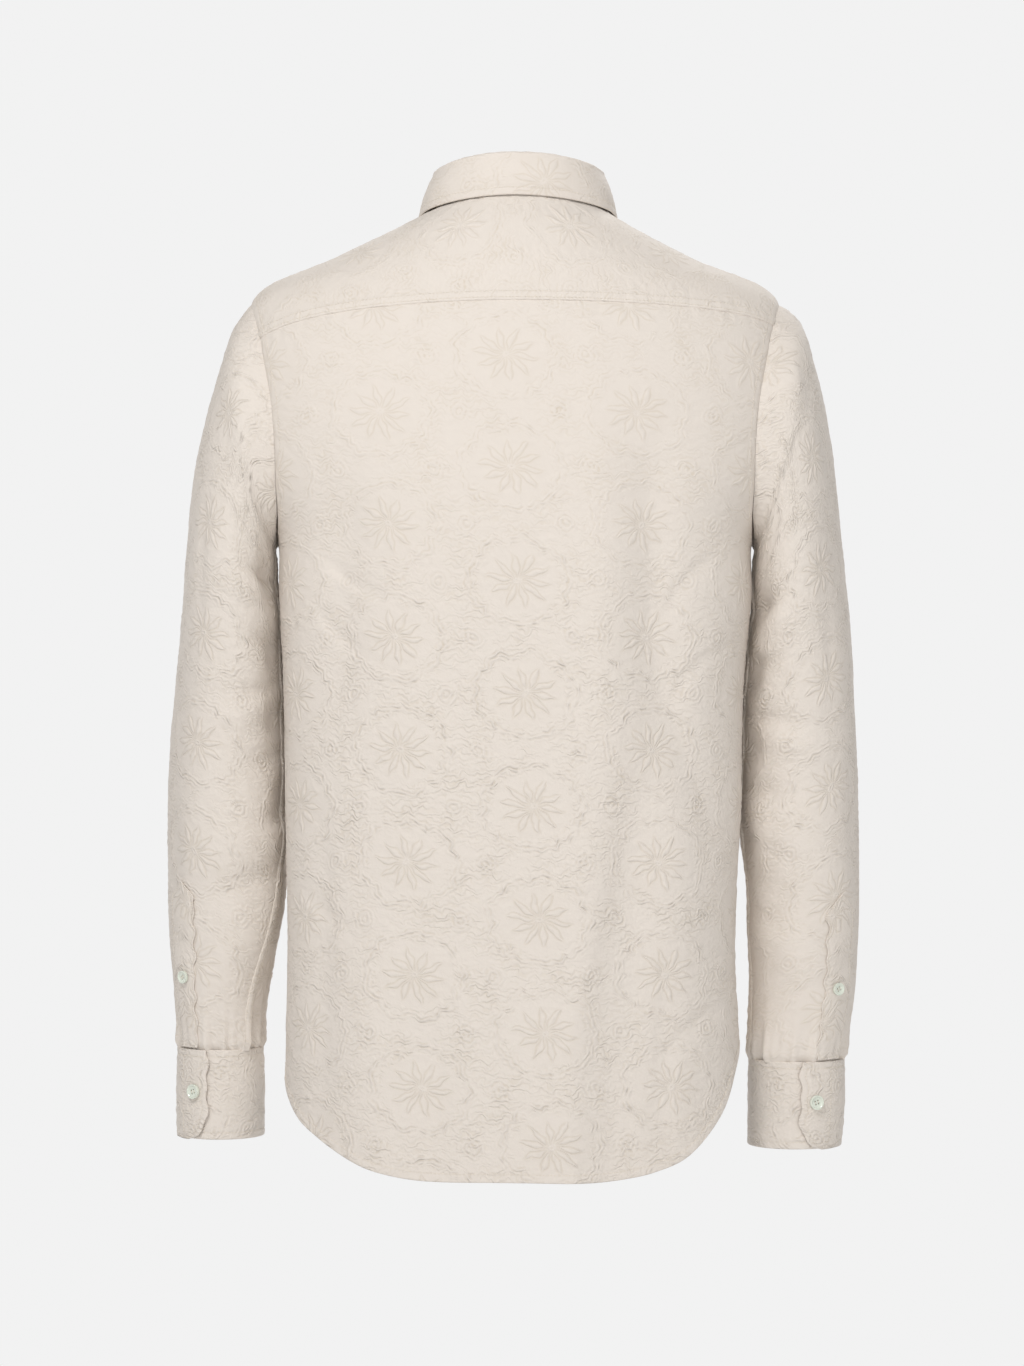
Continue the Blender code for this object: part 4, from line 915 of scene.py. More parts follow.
def front_edges(side):
    """A front's edges, from the side seam along the hem and round."""
    edge = FRONT_MEET + SEAM if side > 0 else FRONT_MEET
    round_to = lambda run: run if side > 0 else run + [2 * math.pi, 0]
    low = float(angle_at(np.array(edge), np.array(FRONT_HEM)))
    start = SIDE_SEAM if side > 0 else 2 * math.pi - SIDE_SEAM
    hem = hem_run(start, low)
    levels = np.linspace(hem[-1, 1], NECK_LEVEL, 400)
    centre = places_run(angle_at(np.full(levels.shape, edge), levels), levels)
    neck_end = YOKE_NECK_ANGLE if side > 0 else 2 * math.pi - YOKE_NECK_ANGLE
    return [
        ("hem", hem),
        ("seam", centre),
        ("seam", places_run(np.linspace(centre[-1, 0], neck_end, 150), NECK_LEVEL)),
        ("seam", round_to(shoulder_run(side)[::-1])),
        ("seam", round_to(arm_run(YOKE_FRONT_TURN, 2 * math.pi, side))),
        ("seam", round_to(side_run(side, False))),
    ]


front_lay = body_lay((1.6, -0.76), (4.7, 0.022), (-0.0495, 0.020, 0, False))
front_flat = Flat((1.5, -0.80), (4.8, 0.03), -0.30, math.pi)
panel("front_left", front_edges(1), front_flat, front_lay, 0.0023)
panel("front_right", front_edges(-1), front_flat, front_lay, 0.0023)

# Sleeves: each one is cut as one piece, bent forward at the elbow, closed under the arm with a
# lapped seam in two rows of stitches, and gathered a little into its cuff.
SLEEVE_START = 0.993     # the sleeve's top edge, as a share of the armhole's size
SEAM_WIDTH = 0.0068      # of the lapped seam
SEAM_STEP = 0.0012
SEAM_STITCHES = (0.0008, 0.0058)
SEAM_RADIUS = 0.045      # turns a width beside the seam into a turn round the arm
ARMHOLE_RADIUS = 0.075   # the same round the armhole
PLACKET_RADIUS = 0.041   # the same at the sleeve's placket
SLEEVES = {
    "left": table("""
outer_x  outer_z  under_x  under_z   mid_y   depth
 0.2225   -0.083   0.1893  -0.2555  -0.002   0.064
   0.24   -0.138   0.1887   -0.266  -0.004   0.064
 0.2535   -0.195   0.1876   -0.284  -0.008  0.0635
 0.2601   -0.252   0.1863   -0.312  -0.012   0.063
 0.2647   -0.305   0.1846    -0.35  -0.018  0.0615
 0.2702   -0.355   0.1835   -0.392  -0.024    0.06
 0.2758    -0.41   0.1828   -0.436  -0.029   0.058
 0.2778    -0.46   0.1825   -0.478  -0.033   0.056
 0.2773    -0.51   0.1829   -0.518  -0.036   0.053
 0.2768   -0.555   0.1885   -0.558  -0.038   0.049
 0.2738    -0.59   0.1935    -0.59  -0.038  0.0455
 0.2707   -0.622   0.1987   -0.622  -0.038  0.0425
 0.2687    -0.64   0.1997    -0.64  -0.038  0.0405
 0.2687  -0.6508   0.1997  -0.6508  -0.038    0.04
"""),
    "right": table("""
outer_x  outer_z  under_x  under_z   mid_y   depth
 0.2235   -0.075   0.1894  -0.2555  -0.002   0.064
  0.239    -0.12   0.1889   -0.265  -0.004   0.064
   0.25   -0.172   0.1881   -0.282  -0.007  0.0635
 0.2565   -0.224    0.187   -0.308  -0.011   0.063
 0.2626   -0.276   0.1836    -0.34  -0.016   0.062
 0.2677   -0.326   0.1814   -0.375  -0.022  0.0605
 0.2702   -0.378   0.1805    -0.41  -0.027   0.059
 0.2728   -0.425   0.1798    -0.45  -0.031   0.057
 0.2743   -0.472   0.1808   -0.488  -0.034   0.055
 0.2748   -0.522    0.187    -0.53  -0.036   0.052
 0.2743   -0.566    0.187    -0.57  -0.038   0.049
 0.2718   -0.602   0.1871   -0.604  -0.038  0.0465
 0.2672   -0.634   0.1861   -0.635  -0.038   0.044
 0.2626    -0.66   0.1853    -0.66  -0.038   0.043
"""),
}
# Bends and creases, each by turn round the arm in degrees, length down the arm, then their half
# widths both ways, slant and depth. The first four on each sleeve are the solid's own.
SLEEVE_FOLDS = {
    "left": numbers("""
turn   down  wide   tall   slant    depth
  55   0.33    60   0.03    0.03    0.004
  50   0.41    60   0.03    0.04    0.004
 150   0.26    30   0.09       0   -0.003
 300   0.38    55  0.032   -0.03  -0.0035
  40  0.098    30  0.008    0.03   -0.003
  36   0.16    26  0.009   0.026  -0.0032
  46  0.205    34  0.008   0.034  -0.0024
  38  0.262    30   0.01    0.03  -0.0026
  34  0.312    26   0.01    0.02  -0.0026
  60  0.366    40   0.01    0.03   -0.002
  66  0.128    30  0.009    0.04   0.0016
  70  0.232    36   0.01   0.046   0.0016
 128   0.42    36  0.012   -0.03  -0.0016
 150    0.1    20   0.03    0.06  -0.0012
 148   0.35    16  0.045       0  -0.0018
 165   0.03    14  0.012    0.02  -0.0016
 245   0.12    30  0.009   -0.04  -0.0022
 300   0.19    36  0.009   -0.03  -0.0028
 318   0.25    30  0.009  -0.026  -0.0026
 292   0.31    44   0.01  -0.034   -0.003
 280  0.352    40  0.009  -0.026  -0.0026
 300   0.44    34   0.01   -0.02   -0.002
  30  0.094    18  0.026    0.01   -0.006
  26  0.176    16  0.018    0.01   -0.005
  28  0.226    17   0.02   0.012  -0.0058
  24    0.3    15  0.022    0.01  -0.0036
 126   0.13     8   0.05       0  -0.0013
 112   0.06    12  0.022    0.03  -0.0012
"""),
    "right": numbers("""
turn   down  wide   tall   slant    depth
  55  0.335    60   0.03    0.04    0.004
  60  0.415    65   0.03   0.045   0.0045
 140   0.15    30   0.06    0.04   -0.003
 290  0.375    55  0.032   -0.03  -0.0035
  36  0.122    26  0.009   0.022  -0.0032
  38  0.176    28  0.008    0.03  -0.0028
  52  0.232    42  0.009   0.036  -0.0028
  40   0.29    30   0.01   0.026  -0.0026
  62  0.345    40   0.01   0.034   -0.002
  36  0.395    26   0.01    0.02   -0.002
  64   0.15    30   0.01   0.036   0.0016
  84  0.262    40   0.01    0.04   0.0018
 130   0.44    36  0.012   -0.03  -0.0016
 146  0.075    12   0.02    0.05  -0.0016
 132  0.028    10  0.014    0.04  -0.0018
 150   0.33    16   0.05       0  -0.0018
 250   0.13    30  0.009  -0.044  -0.0022
 305  0.182    36  0.009   -0.03  -0.0028
 315   0.24    30  0.009  -0.024  -0.0026
 288  0.305    44   0.01  -0.032   -0.003
 284   0.35    40  0.009  -0.028  -0.0026
 296   0.43    34   0.01  -0.022   -0.002
  30   0.12    17  0.022    0.01  -0.0052
  27  0.186    16   0.02   0.012  -0.0058
  30  0.252    18  0.022    0.01   -0.005
  24   0.33    15   0.02    0.01  -0.0034
 122    0.2     9  0.045    0.01  -0.0012
"""),
}
SIGN = {"left": 1, "right": -1}
# Where the lapped seam runs: turns in degrees at shares of the sleeve's length.
SEAM_PATH = table("""
share  left  right
    0     0      0
 0.45     4      2
 0.65    14      4
  0.8    31      7
  0.9    42     10
    1    49     12
""")
GATHERS = [(7, 0.9, 0.5), (13, 0.7, 2.1), (19, 0.5, 4.4), (31, 0.35, 0.9)]


def sleeve_knots(side):
    """The length down the arm of each ring, measured along its middle."""
    rings = SLEEVES[side]
    x = np.concatenate([[0.196], (rings["outer_x"] + rings["under_x"]) / 2])
    z = np.concatenate([[-0.153], (rings["outer_z"] + rings["under_z"]) / 2])
    return np.concatenate([[0], np.cumsum(np.hypot(np.diff(x), np.diff(z)))])


def sleeve_plain(side, turn, length):
    """A sleeve with no folds: curves through the same turn of every ring."""
    sign, knots = SIGN[side], sleeve_knots(side)
    turn, length = np.broadcast_arrays(np.asarray(turn, float), np.asarray(length, float))
    first = body(*armhole(turn, SLEEVE_START, sign))
    i = np.clip(np.searchsorted(knots, length) - 1, 0, len(knots) - 2)
    step = knots[i + 1] - knots[i]
    g = np.clip((length - knots[i]) / step, 0, 1)
    weights = [2 * g**3 - 3 * g**2 + 1, 3 * g**2 - 2 * g**3]
    slopes = [(g**3 - 2 * g**2 + g) * step, (g**3 - g**2) * step]
    ring = {name: np.concatenate([[0], column]) for name, column in SLEEVES[side].items()}
    point = np.zeros((*turn.shape, 3))

    def ring_point(k):
        half_x = sign * (ring["outer_x"][k] - ring["under_x"][k]) / 2
        half_z = (ring["outer_z"][k] - ring["under_z"][k]) / 2
        x = sign * (ring["outer_x"][k] + ring["under_x"][k]) / 2 - half_x * np.cos(turn)
        z = (ring["outer_z"][k] + ring["under_z"][k]) / 2 - half_z * np.cos(turn)
        made = np.stack([x, ring["mid_y"][k] + ring["depth"][k] * np.sin(turn), z], axis=-1)
        return np.where((k == 0)[..., None], first, made)

    last = len(knots) - 1
    near = {off: ring_point(np.clip(i + off, 0, last)) for off in (-1, 0, 1, 2)}
    for off in (0, 1):
        here = i + off
        before, after = np.clip(here - 1, 0, last), np.clip(here + 1, 0, last)
        back_step, on_step = knots[here] - knots[before], knots[after] - knots[here]
        back_slope = (near[off] - near[off - 1]) / np.where(back_step > 0, back_step, 1)[..., None]
        on_slope = (near[off + 1] - near[off]) / np.where(on_step > 0, on_step, 1)[..., None]
        share = np.where(back_step + on_step > 0, back_step / (back_step + on_step), 0)
        share = np.where(here == 0, 1, np.where(here == last, 0, share))[..., None]
        slope = np.where((back_step > 0)[..., None], 1 - share, 0) * back_slope + share * on_slope
        point += weights[off][..., None] * near[off] + slopes[off][..., None] * slope
    return point


def sleeve_out(side, turn, length):
    """Outward normals of a sleeve."""
    length = np.clip(length, 0.002, sleeve_knots(side)[-1] - 0.002)
    return -SIGN[side] * normals(lambda a, b: sleeve_plain(side, a, b), turn, length, 0.01, 0.002)


def sleeve(side, turn, length, creases=None):
    """The outer face of a sleeve, with so many of its creases, or all of them."""
    turn, length = np.broadcast_arrays(np.asarray(turn, float), np.asarray(length, float))
    push = np.zeros(turn.shape)
    for middle, down, wide, tall, slant, depth in SLEEVE_FOLDS[side][:creases]:
        off = (np.degrees(turn) - middle + 180) % 360 - 180
        along = length - down - slant * off / 90
        push = push + depth * falling(off, wide) * falling(along, tall)
    push = push * ease(length / 0.05)
    return sleeve_plain(side, turn, length) + sleeve_out(side, turn, length) * push[..., None]


def gather_height(turn, up):
    """Gathers above the cuff: ridges of unlike widths that fade up the sleeve."""
    made = sum(size * np.sin(count * turn + start + 0.6 * np.sin(2 * turn)) for count, size, start in GATHERS)
    return made * (0.0010 * falling(up, 0.018) + 0.0005 * falling(up, 0.045))


for side in ("left", "right"):
    end = sleeve_knots(side)[-1]
    around = np.linspace(0, 1, 158)
    lap_marks = np.array([-0.0008, 0.0, 0.0004, 0.0010, 0.0018, 0.0030, 0.0045, 0.0058, 0.0064, SEAM_WIDTH])
    columns = np.concatenate([around[:-1] * 2 * math.pi, 2 * math.pi + lap_marks / SEAM_RADIUS])
    downs = np.concatenate([[0, 0.0010, 0.0022, 0.0036], np.linspace(0.0054, end - 0.0010, 270), [end]])
    turn_grid, length_grid = np.meshgrid(columns, downs, indexing="ij")
    start = np.radians(smooth(length_grid / end, SEAM_PATH["share"], SEAM_PATH[side]))
    whole_turn = start + turn_grid
    form = sleeve(side, whole_turn, length_grid)
    out = sleeve_out(side, whole_turn, length_grid)
    lay = Lay(
        lambda a, b: sleeve(side, a, b, 4),
        (-0.05, 0.0005),
        (2 * math.pi + 1.15, end),
        (math.radians(118), end * 0.55),
        (0, 0.075 if side == "left" else 0.020, 0, False),
    )
    x, y = lay.at(whole_turn, length_grid)
    past = (turn_grid - 2 * math.pi) * SEAM_RADIUS
    beside = np.minimum(np.abs(turn_grid), np.abs(turn_grid - 2 * math.pi)) * SEAM_RADIUS
    over = SEAM_STEP * (past > -0.0005)
    step_down = SEAM_STEP * 1.6 * ease((0.0010 - (SEAM_WIDTH - past)) / 0.0010) * (past > 0)
    stitched = 0.0004 * (falling(past - SEAM_STITCHES[0], 0.0006) + falling(past - SEAM_STITCHES[1], 0.0006))
    quiet = np.minimum(ease((length_grid - 0.001) / 0.007), 0.2 + 0.8 * ease((end - length_grid) / 0.010))
    quiet = quiet * (0.3 + 0.7 * ease((beside - 0.004) / 0.006))
    up = end - length_grid
    height = puffs(x, y) * quiet + over - step_down - stitched
    height += gather_height(whole_turn, up) - 0.0016 * falling(up, 0.0022)
    height -= 0.0005 * falling(length_grid, 0.0018)
    pucker = uneven(whole_turn * ARMHOLE_RADIUS, 2.2) * falling(length_grid, 0.0085)
    height += 0.0005 * pucker * ease(length_grid / 0.002)
    height += 0.0003 * uneven(length_grid, 5.1) * falling(beside, 0.008)
    points = form + out * height[..., None]
    tuck = points[:, -1] - out[:, -1] * 0.0012 - [0, 0, 0.0022]
    under_body = body(*armhole(whole_turn[:, 0], 1.008, SIGN[side])) - out[:, 0] * 0.0012
    points = np.concatenate([under_body[:, None], points, tuck[:, None]], axis=1)
    places_xy = np.stack([x, y], axis=-1)
    places_xy = np.concatenate([places_xy[:, :1], places_xy, places_xy[:, -1:]], axis=1)
    shape = points.shape[:2]
    points = points.reshape(-1, 3)
    quads = quads_of(np.arange(len(points)).reshape(shape))
    if not looks_along(points[quads[len(quads) // 2]], out[shape[0] // 2, shape[1] // 2]):
        quads = quads[:, ::-1]
    cloth_piece("sleeve_" + side, points, quads.tolist(), places_xy.reshape(-1, 2))


# Bands: the collar, cuffs and plackets are flat double strips with a soft edge and a row of
# topstitching, cut from the same cloth.
BAND = 0.0020


def band_marks(length, pitch):
    """Shares of a length, close together at both ends."""
    ends = [0, 0.00015, 0.0005, 0.0010, 0.0017, 0.0026, 0.0038, 0.0048, 0.0056, 0.0064]
    ends = [value for value in ends if value < length * 0.4]
    middle = np.linspace(ends[-1], length - ends[-1], max(3, int(length / pitch)))
    return np.concatenate([ends[:-1], middle, [length - value for value in ends[:-1]][::-1]]) / length


stitch_rows = []


def stitch_row(outer, out, down, across, away, side_of):
    """The line of topstitching along one side of a strip's grid, and its normals."""
    if side_of in ("start", "end"):
        outer, out, down = outer.swapaxes(0, 1), out.swapaxes(0, 1), across.swapaxes(0, 1)
    lines = []
    for k in range(outer.shape[1]):
        mark = away if side_of in ("top", "start") else down[-1, k] - away
        lines.append([points_at(mark, down[:, k], values[:, k]) for values in (outer, out)])
    lines = np.array(lines)
    run = lengths_of(lines[:, 0])
    kept = (run > away * 0.9) & (run < run[-1] - away * 0.9)
    return lines[kept, 0], lines[kept, 1]


def band(node, points, thick, middle, stitched, uv_start, relief=0.55, crosswise=False,
         sewn=("top", "bottom", "start", "end")):
    """A strip from a grid of points on its outer face. middle is a point on its inner side.

    stitched is how far its topstitching lies from its edges, and sewn the sides that have it."""
    rows, columns = points.shape[:2]
    out = unit(np.cross(np.gradient(points, axis=0), np.gradient(points, axis=1)))
    if ((points - middle) * out).sum(axis=-1).mean() < 0:
        out = -out
    down, across = lengths_of(points), lengths_of(points.swapaxes(0, 1)).swapaxes(0, 1)
    away = np.minimum(np.minimum(down, down[-1] - down), np.minimum(across, across[:, -1:] - across))
    x, y = across - across[:, -1:] / 2 + uv_start[0], uv_start[1] - down
    if crosswise:
        x, y = y, x
    round_off = np.sqrt(1 - (1 - np.clip(away / 0.0011, 0, 1)) ** 2)
    base = points - out * thick / 2
    along = np.where(down < down[-1] / 2, across, across + 0.013) + down * 0.7
    height = puffs(x, y) * relief * ease((away - stitched) / 0.004)
    height -= 0.00045 * falling(away - stitched, 0.0008)
    height += 0.00028 * uneven(along, 1.7) * falling(away - stitched, 0.004) * ease(away / 0.002)
    outer = base + out * ((thick / 2 + height) * round_off)[..., None]
    inner = base - out * (thick / 2 * round_off)[..., None]
    index = np.arange(rows * columns).reshape(rows, columns)
    inner_index = index.copy()
    inner_count = (rows - 2) * (columns - 2)
    inner_index[1:-1, 1:-1] = rows * columns + np.arange(inner_count).reshape(rows - 2, columns - 2)
    all_points = np.concatenate([outer.reshape(-1, 3), inner[1:-1, 1:-1].reshape(-1, 3)])
    uv = np.stack([x, y], axis=-1)
    all_uv = np.concatenate([uv.reshape(-1, 2), uv[1:-1, 1:-1].reshape(-1, 2)])
    front = quads_of(index)
    faces = np.concatenate([front, quads_of(inner_index)[:, ::-1]])
    test = front[len(front) // 2]
    if not looks_along(all_points[test], out.reshape(-1, 3)[test[0]]):
        faces = faces[:, ::-1]
    cloth_piece(node, all_points, faces.tolist(), all_uv)
    for side_of in sewn:
        stitch_rows.append((node, *stitch_row(outer, out, down, across, stitched, side_of)))


# Collar stand: the upright band round the neck, whose ends lap at the centre front.
STAND_HEIGHT = 0.0240
STAND_OVERLAP = 0.0165
STAND_LAP = 0.0032
STAND_LEAN_BACK = 0.0010
STAND_LEAN_FRONT = 0.0035
STAND_FRONT = 0.0030
NECK_RADIUS = 0.069


def stand_point(angle, share):
    """The stand's outer face: share 0 is its seam and 1 its top edge."""
    angle, share = np.broadcast_arrays(np.asarray(angle, float), np.asarray(share, float))
    foot = body_ring(angle, np.full(np.shape(angle), NECK_LEVEL))
    out = unit(foot * [1, 1, 0])
    front = ease((-np.cos(angle) + 0.2) / 1.2)
    lean = STAND_LEAN_BACK - STAND_LEAN_FRONT * front
    turns = (angle + math.pi) / (2 * math.pi)
    overlap = STAND_LAP * np.clip(turns, -0.05, 1.05)
    point = foot + out * (overlap + lean * share)[..., None]
    raised = SEAM * 2 + (STAND_HEIGHT - STAND_FRONT * front) * share
    return point + np.stack([0 * share, -STAND_FRONT * front * share, raised], axis=-1)


stand_end = math.pi + STAND_OVERLAP / NECK_RADIUS
share_grid, run_grid = np.meshgrid(band_marks(0.025, 0.0016), band_marks(0.44, 0.0022), indexing="ij")
stand_turns = (2 * run_grid - 1) * (stand_end - 0.04 * share_grid**6)
band("collar_stand", stand_point(stand_turns, share_grid), BAND, (0, 0, 0.01), 0.0030, (0, 0))

# Collar fall: it folds over the stand's top edge and lies down on the yoke and fronts.
FALL_WALL = 0.0016
FALL_END = math.radians(173)
FALL_TIP_LAG = math.radians(17)
FALL_START = -0.0018
FALL_RISE = 0.0004
FALL_FOOT = 0.0008
FOLD_START = 0.03
FOLD_END = 0.16
FALL_BELLY = 0.0022
FOLD_RADIUS = 0.0026
FALL_OVER_END = 0.0022
FALL_EDGE = table("""
angle   level    lift
    0   0.015  0.0021
   60   0.014  0.0021
   90   0.014  0.0024
  110  0.0085  0.0032
  130  -0.004   0.004
  150  -0.019  0.0044
  173   -0.03  0.0044
""")


def fall_point(angle, share):
    """The collar's fall: share 0 is its start above the stand and 1 its lower edge."""
    away = np.degrees(np.abs(angle))
    out = unit(body_ring(angle, np.full(np.shape(angle), NECK_LEVEL)) * [1, 1, 0])
    over_end = FALL_OVER_END * ease((-np.degrees(angle) - 140) / 20)
    top = stand_point(angle, 1.0) + out * over_end[..., None]
    lower = np.sign(angle) * (np.abs(angle) - FALL_TIP_LAG * ease((away - 100) / 73))
    level = smooth(away, FALL_EDGE["angle"], FALL_EDGE["level"])
    lift = smooth(away, FALL_EDGE["angle"], FALL_EDGE["lift"])
    edge = body_ring(lower, level) + body_out(lower, level) * lift[..., None]
    bend = np.radians(180 - 190 * np.clip((share - FOLD_START) / (FOLD_END - FOLD_START), 0, 1))
    across = FALL_START + FOLD_RADIUS * (1 + np.cos(bend))
    rise = FALL_RISE + FALL_FOOT * np.clip(share / FOLD_START, 0, 1) + FOLD_RADIUS * np.sin(bend)
    fold = top + out * across[..., None] + np.stack([0 * rise, 0 * rise, rise], axis=-1)
    last_bend = math.radians(-10)
    last = top + out * (FALL_START + FOLD_RADIUS * (1 + math.cos(last_bend)))
    last = last + [0, 0, FALL_RISE + FALL_FOOT + FOLD_RADIUS * math.sin(last_bend)]
    run = np.clip((share - FOLD_END) / (1 - FOLD_END), 0, 1)[..., None]
    belly = out * (FALL_BELLY * np.sin(math.pi * run) * (1 - 0.3 * run))
    return np.where(run > 0, last + (edge - last) * run + belly, fold)


fall_shares = np.concatenate([np.linspace(0, FOLD_START, 3)[:-1], np.linspace(FOLD_START, FOLD_END, 12)[:-1]])
fall_tail = FOLD_END + (1 - FOLD_END) * np.linspace(0, 1, 21)[:-1]
fall_last = 1 - np.array([0.0040, 0.0026, 0.0017, 0.0010, 0.0005, 0.00015, 0]) / 0.040
fall_shares = np.concatenate([fall_shares, fall_tail[fall_tail < fall_last[0] - 0.01], fall_last])
share_grid, run_grid = np.meshgrid(fall_shares, band_marks(0.46, 0.0022), indexing="ij")
fall_grid = fall_point((2 * run_grid - 1) * FALL_END, share_grid)
band("collar_fall", fall_grid, FALL_WALL, (0, 0, -0.05), 0.0060, (0.02, 0.03 + 4 * FLOWER_UP),
     sewn=("bottom", "start", "end"))

# Front placket: the straight buttoned band down the centre front.
PLACKET_HALF = 0.0185
FRONT_BAND_TOP = 0.0026
FRONT_BAND_FOOT = -0.7225
FRONT_BAND_HEAD = NECK_LEVEL - 0.0045
share_grid, run_grid = np.meshgrid(band_marks(0.037, 0.0026), band_marks(0.745, 0.0026), indexing="ij")
placket_x = (2 * share_grid - 1) * PLACKET_HALF
placket_level = FRONT_BAND_FOOT + (FRONT_BAND_HEAD - FRONT_BAND_FOOT) * run_grid
placket_angle = angle_at(placket_x, placket_level)
placket_grid = body(placket_angle, placket_level) + body_out(placket_angle, placket_level) * FRONT_BAND_TOP
band("front_placket", placket_grid, BAND, (0, 0, -0.36), 0.0060, (0, 0), crosswise=True)

# Cuffs: each is one strip that passes over its own end, with a rounded lower corner.
CUFFS = {
    "left": table("""
      z  outer_x  under_x   mid_y   depth
-0.6516   0.2687   0.1997  -0.038  0.0405
 -0.686   0.2695    0.199  -0.038  0.0415
-0.7225    0.269    0.199  -0.038  0.0415
"""),
    "right": table("""
      z  outer_x  under_x   mid_y   depth
-0.6608   0.2626   0.1853  -0.038  0.0432
 -0.694   0.2628    0.185  -0.038  0.0434
  -0.73     0.26   0.1845  -0.038   0.043
"""),
}
CUFF_EDGE = {"left": math.radians(104), "right": math.radians(92)}
CUFF_UNDER = math.radians(46)
CUFF_CORNER = 0.020
CUFF_EDGE_LIFT = 0.0010
CUFF_LENGTH = 0.272
CUFF_GIRTH = 0.262


def cuff_point(side, run, share):
    """A cuff's outer face. run is 0 at the under end and 1 at the top layer's edge."""
    turn = CUFF_EDGE[side] + CUFF_UNDER - (2 * math.pi + CUFF_UNDER) * run
    size = {name: smooth(share, np.linspace(0, 1, 3), column) for name, column in CUFFS[side].items()}
    lift = (BAND + 0.0005) * ease((run - 0.55) / 0.35) + CUFF_EDGE_LIFT * ease((run - 0.94) / 0.06)
    centre = (size["outer_x"] + size["under_x"]) / 2
    half = (size["outer_x"] - size["under_x"]) / 2 - 0.0012 + lift
    x = SIGN[side] * (centre - half * np.cos(turn))
    y = size["mid_y"] + (size["depth"] - 0.0012 + lift) * np.sin(turn)
    return np.stack([x, y, size["z"]], axis=-1)


for side in ("left", "right"):
    rings = CUFFS[side]
    tall = rings["z"][0] - rings["z"][-1]
    share_grid, run_grid = np.meshgrid(band_marks(0.071, 0.0022), band_marks(0.275, 0.0020), indexing="ij")
    cut = np.clip(CUFF_CORNER - (1 - share_grid) * tall, 0, None) / CUFF_CORNER
    short = CUFF_CORNER * (1 - np.sqrt(np.clip(1 - cut**2, 0, None)))
    edge_wave = np.sin(share_grid * tall / 0.0030 + 1.0) + 0.7 * np.sin(share_grid * tall / 0.0052 + 2.2)
    short = (short + 0.0009 * edge_wave) / CUFF_GIRTH * ease((run_grid - 0.80) / 0.20)
    middle_x = (rings["outer_x"][1] + rings["under_x"][1]) / 2
    middle = (SIGN[side] * middle_x, rings["mid_y"][1], rings["z"][1])
    grid = cuff_point(side, run_grid - short, share_grid)
    band("cuff_" + side, grid, BAND, middle, 0.0055, (0.031, 0.02), relief=0.8)

# Sleeve plackets: the pointed strip over each sleeve's slit.
PLACKET_EDGE = {"left": math.radians(117), "right": math.radians(109)}
PLACKET_WIDTH = 0.025
PLACKET_LENGTH = 0.118
PLACKET_POINT = 0.012
PLACKET_WALL = 0.0014
PLACKET_TOP = PLACKET_WALL + 0.00045


def placket_place(side, across, down):
    """Turns and lengths of the strip, from its pointed top down."""
    point = PLACKET_POINT * (1 - np.abs(2 * across - 1)) * (1 - down) ** 3
    length = sleeve_knots(side)[-1] - 0.0006 - PLACKET_LENGTH * (1 - down) - point
    return PLACKET_EDGE[side] + PLACKET_WIDTH * across / PLACKET_RADIUS, length


for side in ("left", "right"):
    down_grid, across_grid = np.meshgrid(band_marks(0.130, 0.0022), band_marks(0.025, 0.0018), indexing="ij")
    turns, lengths = placket_place(side, across_grid, down_grid)
    out = sleeve_out(side, turns, lengths)
    start = 3.0 if side == "left" else 1.0
    wavy = np.sin(lengths / 0.0027 + start) + 0.6 * np.sin(lengths / 0.0041 + 2 * start)
    inner_edge = ease(1 - 2 * across_grid)
    turns = turns + (0.0012 * inner_edge * wavy + 0.0003 * uneven(lengths, start)) / PLACKET_RADIUS
    up = sleeve_knots(side)[-1] - lengths
    grid = sleeve(side, turns, lengths) + out * (PLACKET_TOP + gather_height(turns, up) * 0.5)[..., None]
    middle = grid.mean(axis=(0, 1)) - out.mean(axis=(0, 1)) * 0.02
    band("sleeve_placket_" + side, grid, PLACKET_WALL, middle, 0.0020, (0.012, 0.01), relief=0.3)

# Buttons: turned from pale shell, each with a raised rim, a dished middle and four holes. They
# are sewn on through two pairs of holes.
BUTTON_THICK = 0.0026
FRONT_BUTTON = 0.0115
PLACKET_BUTTON = 0.0100
PLACKET_BUTTON_UP = 0.057    # above the sleeve's end
CUFF_BUTTON_IN = 0.0115      # from the cuff's edge
FRONT_BUTTON_LEVELS = [-0.118, -0.207, -0.296, -0.385, -0.474, -0.563]
HOLE_AWAY = 0.00125
HOLE_RADIUS = 0.00072
SHELL = (0.78, 0.80, 0.71, 1)
SHELL_DEEP = (0.60, 0.65, 0.55, 1)
shell = Finish("shell_button", {"Roughness": 0.20, "Coat Weight": 0.5, "Coat Roughness": 0.08, "IOR": 1.53})
shell_places = shell.node("ShaderNodeTexCoord", {}, {}, "Object")
layers = shell.noise(shell_places, 160.0, 3.0, Distortion=1.6)
shell.join(shell.colour(layers, SHELL, SHELL_DEEP), shell.shader.inputs["Base Color"])
bpy.ops.object.select_all(action="DESELECT")
bpy.ops.mesh.primitive_cylinder_add(
    vertices=40, radius=FRONT_BUTTON / 2, depth=BUTTON_THICK, location=(0, 0, BUTTON_THICK / 2)
)
blank = bpy.context.object
bpy.ops.object.transform_apply(location=True)
bpy.ops.object.mode_set(mode="EDIT")
edit = bmesh.from_edit_mesh(blank.data)
for face in edit.faces:
    face.select = face.normal.z > 0.9
bmesh.update_edit_mesh(blank.data)
for width, drop in ((0.00085, 0.0), (0.00060, -0.00070), (0.00100, -0.00025)):
    bpy.ops.mesh.inset(thickness=width, depth=0)
    bpy.ops.transform.translate(value=(0, 0, drop))
bpy.ops.mesh.select_all(action="DESELECT")
bpy.ops.object.mode_set(mode="OBJECT")
